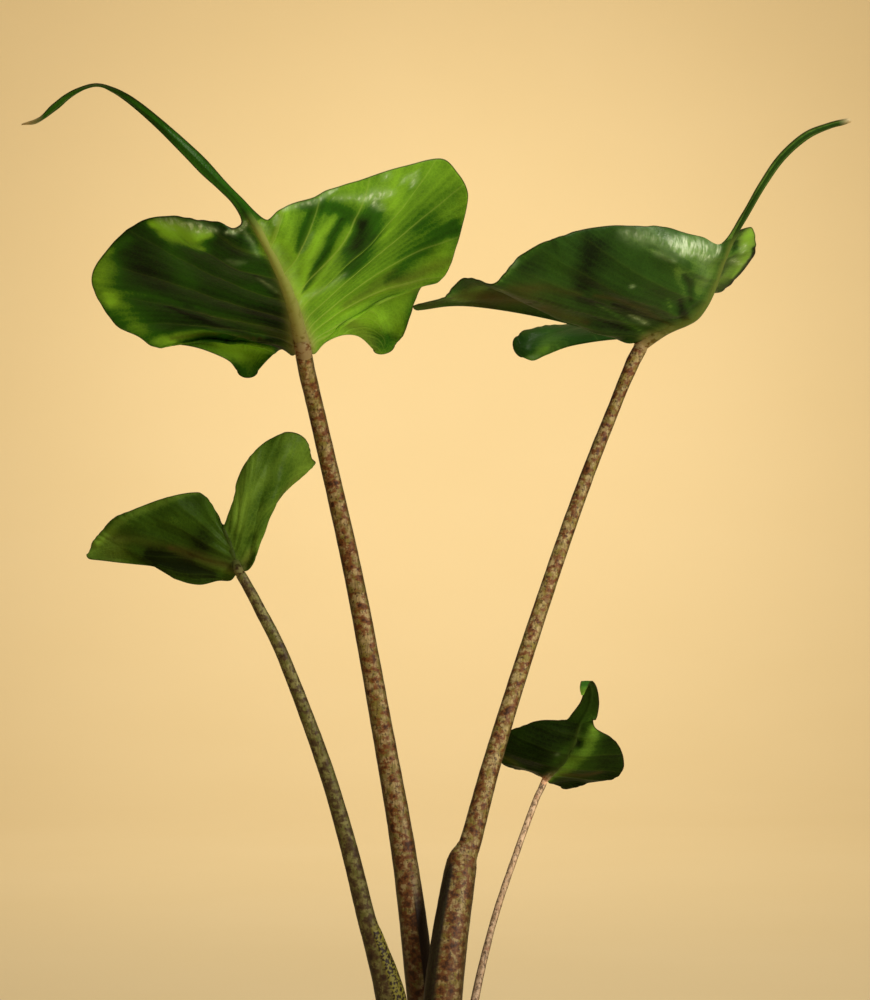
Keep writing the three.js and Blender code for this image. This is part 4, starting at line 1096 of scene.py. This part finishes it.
def paper_material():
    """Seamless studio paper in a pale warm cream, matt, in two close tints."""
    made, tree, place = new_material("studio_paper")
    # Light falls off gently over the metre to each side of the plant.
    away = vectors(tree, "DISTANCE", stretched(tree, place, (1, 0, 1)), (0.05, 0, 0.65), "Value")
    color = layered(tree, linear("#F2DDAA"), [
        (noise(tree, place, 3, 2), "#F6E2B2"),
        (ramp(tree, away, 0.2, 1.4, 0.0, 0.6, **SOFTLY), "#A8946A"),
    ])
    skin(tree, {"Base Color": color, "Roughness": 0.9})
    return made


def group_tree(name, inputs):
    """An empty geometry tree with named inputs: (tree, what it is given, identifiers by name)."""
    tree = bpy.data.node_groups.new(name, "GeometryNodeTree")
    tree.interface.new_socket("Geometry", in_out="OUTPUT", socket_type="NodeSocketGeometry")
    tree.interface.new_socket("Geometry", in_out="INPUT", socket_type="NodeSocketGeometry")
    keys = {}
    for label, kind in inputs:
        socket = tree.interface.new_socket(label, in_out="INPUT", socket_type="NodeSocket" + kind)
        keys[label] = socket.identifier
    return tree, tree.nodes.new("NodeGroupInput").outputs, keys


def close_tree(tree, shape, material):
    """Dresses what a geometry tree has made and hands it out."""
    dressed = add(tree, "GeometryNodeSetMaterial", {"Geometry": shape.outputs[0], "Material": material})
    add(tree, "NodeGroupOutput", {0: dressed.outputs[0]})


def grown(source, name, tree, keys, values):
    """Runs a geometry tree on an object, keeps the result as a plain mesh and drops the source."""
    modifier = source.modifiers.new("grow", "NODES")
    modifier.node_group = tree
    for label, value in values.items():
        modifier[keys[label]] = value
    data = settled_mesh(source)
    data.name = name
    bpy.data.objects.remove(source)
    return scene_object(name, data)


def named(tree, name):
    return add(tree, "GeometryNodeInputNamedAttribute", {"Name": name}).outputs[0]


def stalk_tree():
    """Grows a stalk along its path: a ribbed, slightly flattened tube with a groove and a sheath."""
    tree, want, keys = group_tree("stalk", [
        ("Sides", "Int"), ("Depth", "Float"), ("Ribs", "Float"), ("Rib height", "Float"),
        ("Lump height", "Float"), ("Sheath way", "Vector"), ("Sheath height", "Float"),
        ("Seed", "Float"), ("Material", "Material")])
    path = add(tree, "GeometryNodeMeshToCurve", {"Mesh": want["Geometry"]})
    kept = tree.nodes.new("GeometryNodeCaptureAttribute")
    tree.links.new(path.outputs[0], kept.inputs[0])
    for label, kind, field in (("centre", "VECTOR", add(tree, "GeometryNodeInputPosition").outputs[0]),
                               ("groove", "FLOAT", named(tree, "groove")),
                               ("wing", "FLOAT", named(tree, "wing"))):
        kept.capture_items.new(kind, label)
        tree.links.new(field, kept.inputs[label])
    centre = kept.outputs["centre"]
    ring = add(tree, "GeometryNodeCurvePrimitiveCircle", {"Resolution": want["Sides"], "Radius": 1.0})
    hull = add(tree, "GeometryNodeCurveToMesh", {
        "Curve": kept.outputs[0], "Profile Curve": ring.outputs[0], "Scale": named(tree, "half_width"),
        "Fill Caps": True})
    spot = add(tree, "GeometryNodeInputPosition").outputs[0]
    out = vectors(tree, "SUBTRACT", spot, centre)
    way = add(tree, "ShaderNodeVectorMath", {0: out}, operation="NORMALIZE").outputs[0]
    right, back, _ = add(tree, "ShaderNodeSeparateXYZ", {0: way}).outputs

    # The groove runs down the far side, and the whole is a little flatter from front to back.
    narrow = calc(tree, "POWER", calc(tree, "MAXIMUM", back), 6.0)
    dent = calc(tree, "MULTIPLY", narrow, kept.outputs["groove"])
    pressed = scaled(tree, out, calc(tree, "SUBTRACT", 1.0, dent))
    flat = add(tree, "ShaderNodeCombineXYZ", {0: 1.0, 1: want["Depth"], 2: 1.0}).outputs[0]
    oval = vectors(tree, "MULTIPLY", pressed, flat)

    # Fine ribs, lumps and the edge of the sheath stand out from it.
    turns = calc(tree, "MULTIPLY", calc(tree, "ARCTAN2", back, right), want["Ribs"])
    ribs = calc(tree, "MULTIPLY", calc(tree, "COSINE", turns), want["Rib height"])
    lumps = add(tree, "ShaderNodeTexNoise",
                {"Vector": spot, "W": want["Seed"], "Scale": 140.0, "Detail": 2.0}, noise_dimensions="4D")
    lump = calc(tree, "MULTIPLY", calc(tree, "SUBTRACT", lumps.outputs[0], 0.5), want["Lump height"])
    facing = vectors(tree, "DOT_PRODUCT", way, want["Sheath way"], "Value")
    sheath = calc(tree, "MULTIPLY", ramp(tree, facing, 0.52, 0.6), kept.outputs["wing"])
    swell = calc(tree, "ADD", ribs, lump)
    swell = calc(tree, "ADD", swell, calc(tree, "MULTIPLY", sheath, want["Sheath height"]))
    moved = vectors(tree, "ADD", oval, scaled(tree, way, swell))
    placed = vectors(tree, "ADD", moved, centre)
    shape = add(tree, "GeometryNodeSetPosition", {"Geometry": hull.outputs[0], "Position": placed})
    # Painted shade on the sides that face left and right, kept for the material.
    side_shade = ramp(tree, calc(tree, "ABSOLUTE", right), 0.68, 1.0, 0.0, 0.85)
    for name, value in (("sheath", sheath), ("side_shade", side_shade)):
        shape = add(tree, "GeometryNodeStoreNamedAttribute",
                    {"Geometry": shape.outputs[0], "Name": name, "Value": value},
                    data_type="FLOAT", domain="POINT")
    shape = add(tree, "GeometryNodeSetShadeSmooth", {"Geometry": shape.outputs[0]})
    shape = add(tree, "GeometryNodeRealizeInstances", {"Geometry": shape.outputs[0]})
    close_tree(tree, shape, want["Material"])
    return tree, keys


def stalk_piece(name, tree, keys, material, sheath):
    """A stalk from its foot in the soil to the joint under its leaf."""
    stalk, joint = STALKS[name], LEAVES[name]["joint"]
    top = stalk["top"]
    at, heading = np.array(joint[0]), unit(np.array(joint[1]))
    below = at - heading * 2 * top
    x, y, _, foot, _ = stalk["path"][0]
    rows = [*stalk["path"], (*below, top, 0)]
    path = curve_through([(i, *row) for i, row in enumerate(rows)])
    ways = np.linspace(0, len(rows) - 1, STEM_STEPS * len(rows))
    points = [(x, y, SOIL_FOOT, foot, 0), (x, y, SOIL_LEVEL, foot, 0), *path(ways)]
    points += [(*(at - heading * gap), top, 0) for gap in (top, 0)]
    points = np.array(points)
    way, height, low, high = sheath
    data = bpy.data.meshes.new(name)
    data.from_pydata((points[:, :3] * MM).tolist(), [(i, i + 1) for i in range(len(points) - 1)], [])
    wing = np.clip((high - points[:, 2]) / (high - low), 0, 1)
    store(data, "half_width", points[:, 3] * MM)
    store(data, "groove", points[:, 4].clip(0))
    store(data, "wing", wing * wing * (3 - 2 * wing))
    values = {"Sides": STEM_SIDES, "Depth": STEM_DEPTH, "Ribs": STEM_RIBS,
              "Rib height": STEM_RIB_HEIGHT * top * MM, "Lump height": STEM_LUMP * MM, "Sheath way": way,
              "Sheath height": height * MM, "Seed": float(len(name)), "Material": material}
    return grown(scene_object(name, data), "stalk_" + name, tree, keys, values)


def lathe(name, profile, sides, lift=None):
    """A closed turned piece: profile as (radius, height) in mm from the axis back to the axis."""
    angles = [2 * math.pi * k / sides for k in range(sides)]
    points, rows = [], []
    for radius, height in profile:
        if radius == 0:
            rows.append([len(points)] * sides)
            points.append((0, 0, height))
        else:
            rows.append(list(range(len(points), len(points) + sides)))
            points.extend((radius * math.cos(angle), radius * math.sin(angle), height) for angle in angles)
    faces = []
    for low, high in zip(rows, rows[1:]):
        for k in range(sides):
            after = (k + 1) % sides
            faces.append(list(dict.fromkeys([low[k], low[after], high[after], high[k]])))
    if lift:
        points = [(x, y, z + lift(x, y, z)) for x, y, z in points]
    return mesh_piece(name, points, faces)


def arc(centre, radius, start, end, steps):
    """Points of a rounded corner in a profile, angles in degrees."""
    angles = [math.radians(start + (end - start) * k / steps) for k in range(steps + 1)]
    return [(centre[0] + radius * math.cos(a), centre[1] + radius * math.sin(a)) for a in angles]


def drill_piece():
    """The drills that cut the pot's drain holes."""
    drills = bmesh.new()
    for i in range(DRAIN_COUNT):
        angle = 2 * math.pi * (i + 0.5) / DRAIN_COUNT
        spot = Vector((DRAIN_DISTANCE * math.cos(angle), DRAIN_DISTANCE * math.sin(angle), 0)) * MM
        bmesh.ops.create_cone(drills, cap_ends=True, segments=DRAIN_SIDES, radius1=DRAIN_RADIUS * MM,
                              radius2=DRAIN_RADIUS * MM, depth=4 * POT_FLOOR * MM,
                              matrix=Matrix.Translation(spot))
    data = bpy.data.meshes.new("drills")
    drills.to_mesh(data)
    drills.free()
    return scene_object("drills", data)


def pot_piece():
    """The tapered pot with its rolled rim, rounded foot and drain holes."""
    inner = POT_BASE_RADIUS - POT_WALL
    rim = POT_WALL / 2
    profile = [(0, 0), (POT_BASE_RADIUS - 4, 0), *arc((POT_BASE_RADIUS - 2, 2), 2, -90, -10, 8)]
    profile += [(POT_BASE_RADIUS + POT_SLOPE * z, z) for z in range(6, POT_HEIGHT - 4, POT_RING_STEP)]
    profile += arc((POT_RIM_RADIUS - rim, POT_HEIGHT - rim), rim, -10, 190, 14)
    profile += [(inner + POT_SLOPE * z, z) for z in range(POT_HEIGHT - 6, POT_FLOOR + 4, -POT_RING_STEP)]
    profile += arc((inner - 2, POT_FLOOR + 3), 3, 0, -90, 6) + [(0, POT_FLOOR)]
    pot = lathe("pot_body", profile, POT_SIDES)
    cutter = drill_piece()
    cut = pot.modifiers.new("drains", "BOOLEAN")
    cut.operation, cut.object, cut.solver = "DIFFERENCE", cutter, "EXACT"
    holed = settled_mesh(pot)
    pot.modifiers.clear()
    pot.data = holed
    pot.data.shade_smooth()
    pot.data.set_sharp_from_angle(angle=math.radians(POT_SHARP_ANGLE))
    bpy.data.objects.remove(cutter)
    return pot


def soil_rise(x, y):
    """Height of the soil above its level: a low mound with lumps and small pits."""
    mound = SOIL_MOUND * math.exp(-(x * x + y * y) / SOIL_MOUND_SPREAD)
    lumps = math.sin(0.31 * x + 1.1) * math.cos(0.27 * y) + math.sin(0.19 * x - 0.33 * y)
    pits = SOIL_PIT * math.sin(1.3 * x + 0.7 * y) * math.sin(1.1 * y - 0.4 * x)
    return mound + SOIL_LUMP * lumps + pits


def soil_piece():
    """The bed of soil, filling the pot and dimpled on top."""
    inner = POT_BASE_RADIUS - POT_WALL - SOIL_GAP
    bottom = POT_FLOOR + SOIL_GAP
    top_radius = inner + POT_SLOPE * SOIL_LEVEL
    profile = [(0, bottom), (inner - 4, bottom), (inner + POT_SLOPE * (bottom + 4), bottom + 4)]
    profile += [(top_radius * (1 - i / SOIL_RINGS), SOIL_LEVEL) for i in range(SOIL_RINGS)]
    profile += [(0, SOIL_LEVEL)]

    def lift(x, y, z):
        fade = min(1, (top_radius - math.hypot(x, y)) / POT_WALL)
        return max(0, fade) * soil_rise(x, y) if z > SOIL_LEVEL - 1 else 0

    return lathe("soil_bed", profile, SOIL_SIDES, lift)


def crumb_tree():
    """Strews crumbs over the level faces of a bed: knobbly grains, each turned and sized at random."""
    tree, want, keys = group_tree("crumbs", [
        ("Density", "Float"), ("Spacing", "Float"), ("Smallest", "Float"), ("Largest", "Float"),
        ("Shape", "Vector"), ("Knobble", "Float"), ("Seed", "Int"), ("Material", "Material")])
    normal = add(tree, "ShaderNodeSeparateXYZ", {0: add(tree, "GeometryNodeInputNormal").outputs[0]})
    level = add(tree, "FunctionNodeCompare", {0: normal.outputs[2], 1: 0.6}, operation="GREATER_THAN")
    spots = add(tree, "GeometryNodeDistributePointsOnFaces", {
        "Mesh": want["Geometry"], "Selection": level.outputs[0], "Distance Min": want["Spacing"],
        "Density Max": want["Density"], "Seed": want["Seed"]}, distribute_method="POISSON")
    grain = add(tree, "GeometryNodeMeshIcoSphere", {"Radius": 1.0, "Subdivisions": 2})
    formed = add(tree, "GeometryNodeTransform", {"Geometry": grain.outputs[0], "Scale": want["Shape"]})
    turn = add(tree, "FunctionNodeRandomValue", {"Max": (6.28, 6.28, 6.28), "Seed": want["Seed"]},
               data_type="FLOAT_VECTOR")
    size = add(tree, "FunctionNodeRandomValue",
               {2: want["Smallest"], 3: want["Largest"], "Seed": want["Seed"]}, data_type="FLOAT")
    strewn = add(tree, "GeometryNodeInstanceOnPoints", {
        "Points": spots.outputs[0], "Instance": formed.outputs[0], "Rotation": turn.outputs[0],
        "Scale": size.outputs[1]})
    real = add(tree, "GeometryNodeRealizeInstances", {"Geometry": strewn.outputs[0]})
    lumps = add(tree, "ShaderNodeTexNoise", {"Scale": 900.0, "Detail": 1.0})
    pushed = scaled(tree, vectors(tree, "SUBTRACT", lumps.outputs[1], (0.5, 0.5, 0.5)), want["Knobble"])
    shape = add(tree, "GeometryNodeSetPosition", {"Geometry": real.outputs[0], "Offset": pushed})
    close_tree(tree, shape, want["Material"])
    return tree, keys


def studio():
    """A wide sweep of paper: a round floor that curves up into a low wall on every side."""
    cove = arc((PAPER_FLOOR, PAPER_CURVE), PAPER_CURVE, -90, 0, 24)
    room = lathe("studio_sweep", [(0, PAPER_DROP), *cove, PAPER_EDGE], 96)
    for polygon in room.data.polygons:
        polygon.flip()
    room.data.materials.append(paper_material())


def lamp(name, spot, aim, size, watts, color):
    """A soft square light at a spot in metres, turned towards its aim."""
    data = bpy.data.lights.new(name, "AREA")
    data.shape, data.size, data.energy, data.color = "SQUARE", size, watts, linear(color)[:3]
    light = scene_object(name, data)
    light.location = spot
    light.rotation_euler = (Vector(aim) - Vector(spot)).to_track_quat("-Z", "Y").to_euler()


def camera():
    """Level with the middle of the plant, 2.2 m in front of it, 55 cm of it in view from top to bottom."""
    data = bpy.data.cameras.new("viewer")
    data.lens, data.sensor_width = LENS, SENSOR
    made = scene_object("viewer", data)
    made.location = CAMERA_SPOT
    made.rotation_euler = (math.radians(90), 0, 0)
    bpy.context.scene.camera = made


camera()
studio()

stalks, stalk_keys = stalk_tree()
for leaf_name in LEAVES:
    cream, _, blotch, *_ = STALK_COLORS[leaf_name]
    blade = leaf_piece(leaf_name)
    living = leaf_material("living_leaf_" + leaf_name, *LEAF_COLORS[leaf_name], cream, blotch)
    finish_piece(blade, "blade_" + leaf_name, living)
    mottled_skin = stalk_material("mottled_stalk_" + leaf_name, *STALK_COLORS[leaf_name])
    stalk = stalk_piece(leaf_name, stalks, stalk_keys, mottled_skin, SHEATHS[leaf_name])
    finish_piece(stalk, "stem_" + leaf_name)

finish_piece(pot_piece(), "pot", pot_material())
bed = soil_piece()
crumbs, crumb_keys = crumb_tree()
dressings = {look[0]: soil_material(*look) for look in (PEAT, BARK, PERLITE)}
for seed, (grain_name, grain) in enumerate(GRAINS.items()):
    look, density, spacing, smallest, largest, shape, knobble = grain
    source = scene_object(grain_name, bed.data.copy())
    values = {"Density": density, "Spacing": spacing, "Smallest": smallest, "Largest": largest,
              "Shape": shape, "Knobble": knobble, "Seed": seed + 3, "Material": dressings[look[0]]}
    finish_piece(grown(source, grain_name, crumbs, crumb_keys, values), "soil")
finish_piece(bed, "soil", dressings[PEAT[0]])

lamp("key", (1.7, -1.5, 1.3), (0.0, 0.0, 0.5), 0.8, 68, "#FFF6EA")
lamp("top", (-0.3, -0.6, 2.2), (0.0, 0.0, 0.5), 0.6, 22, "#FFF8EC")
lamp("backdrop_glow", (-0.2, 2.6, 3.4), (-0.2, 6.2, 1.0), 2.0, 112, "#FFF1DC")
world = bpy.data.worlds.new("studio_air")
world.use_nodes = True
air = world.node_tree.nodes["Background"].inputs
air["Color"].default_value = linear("#FFF8EE")
air["Strength"].default_value = 0.23
bpy.context.scene.world = world
bpy.context.scene.view_settings.view_transform = "Standard"
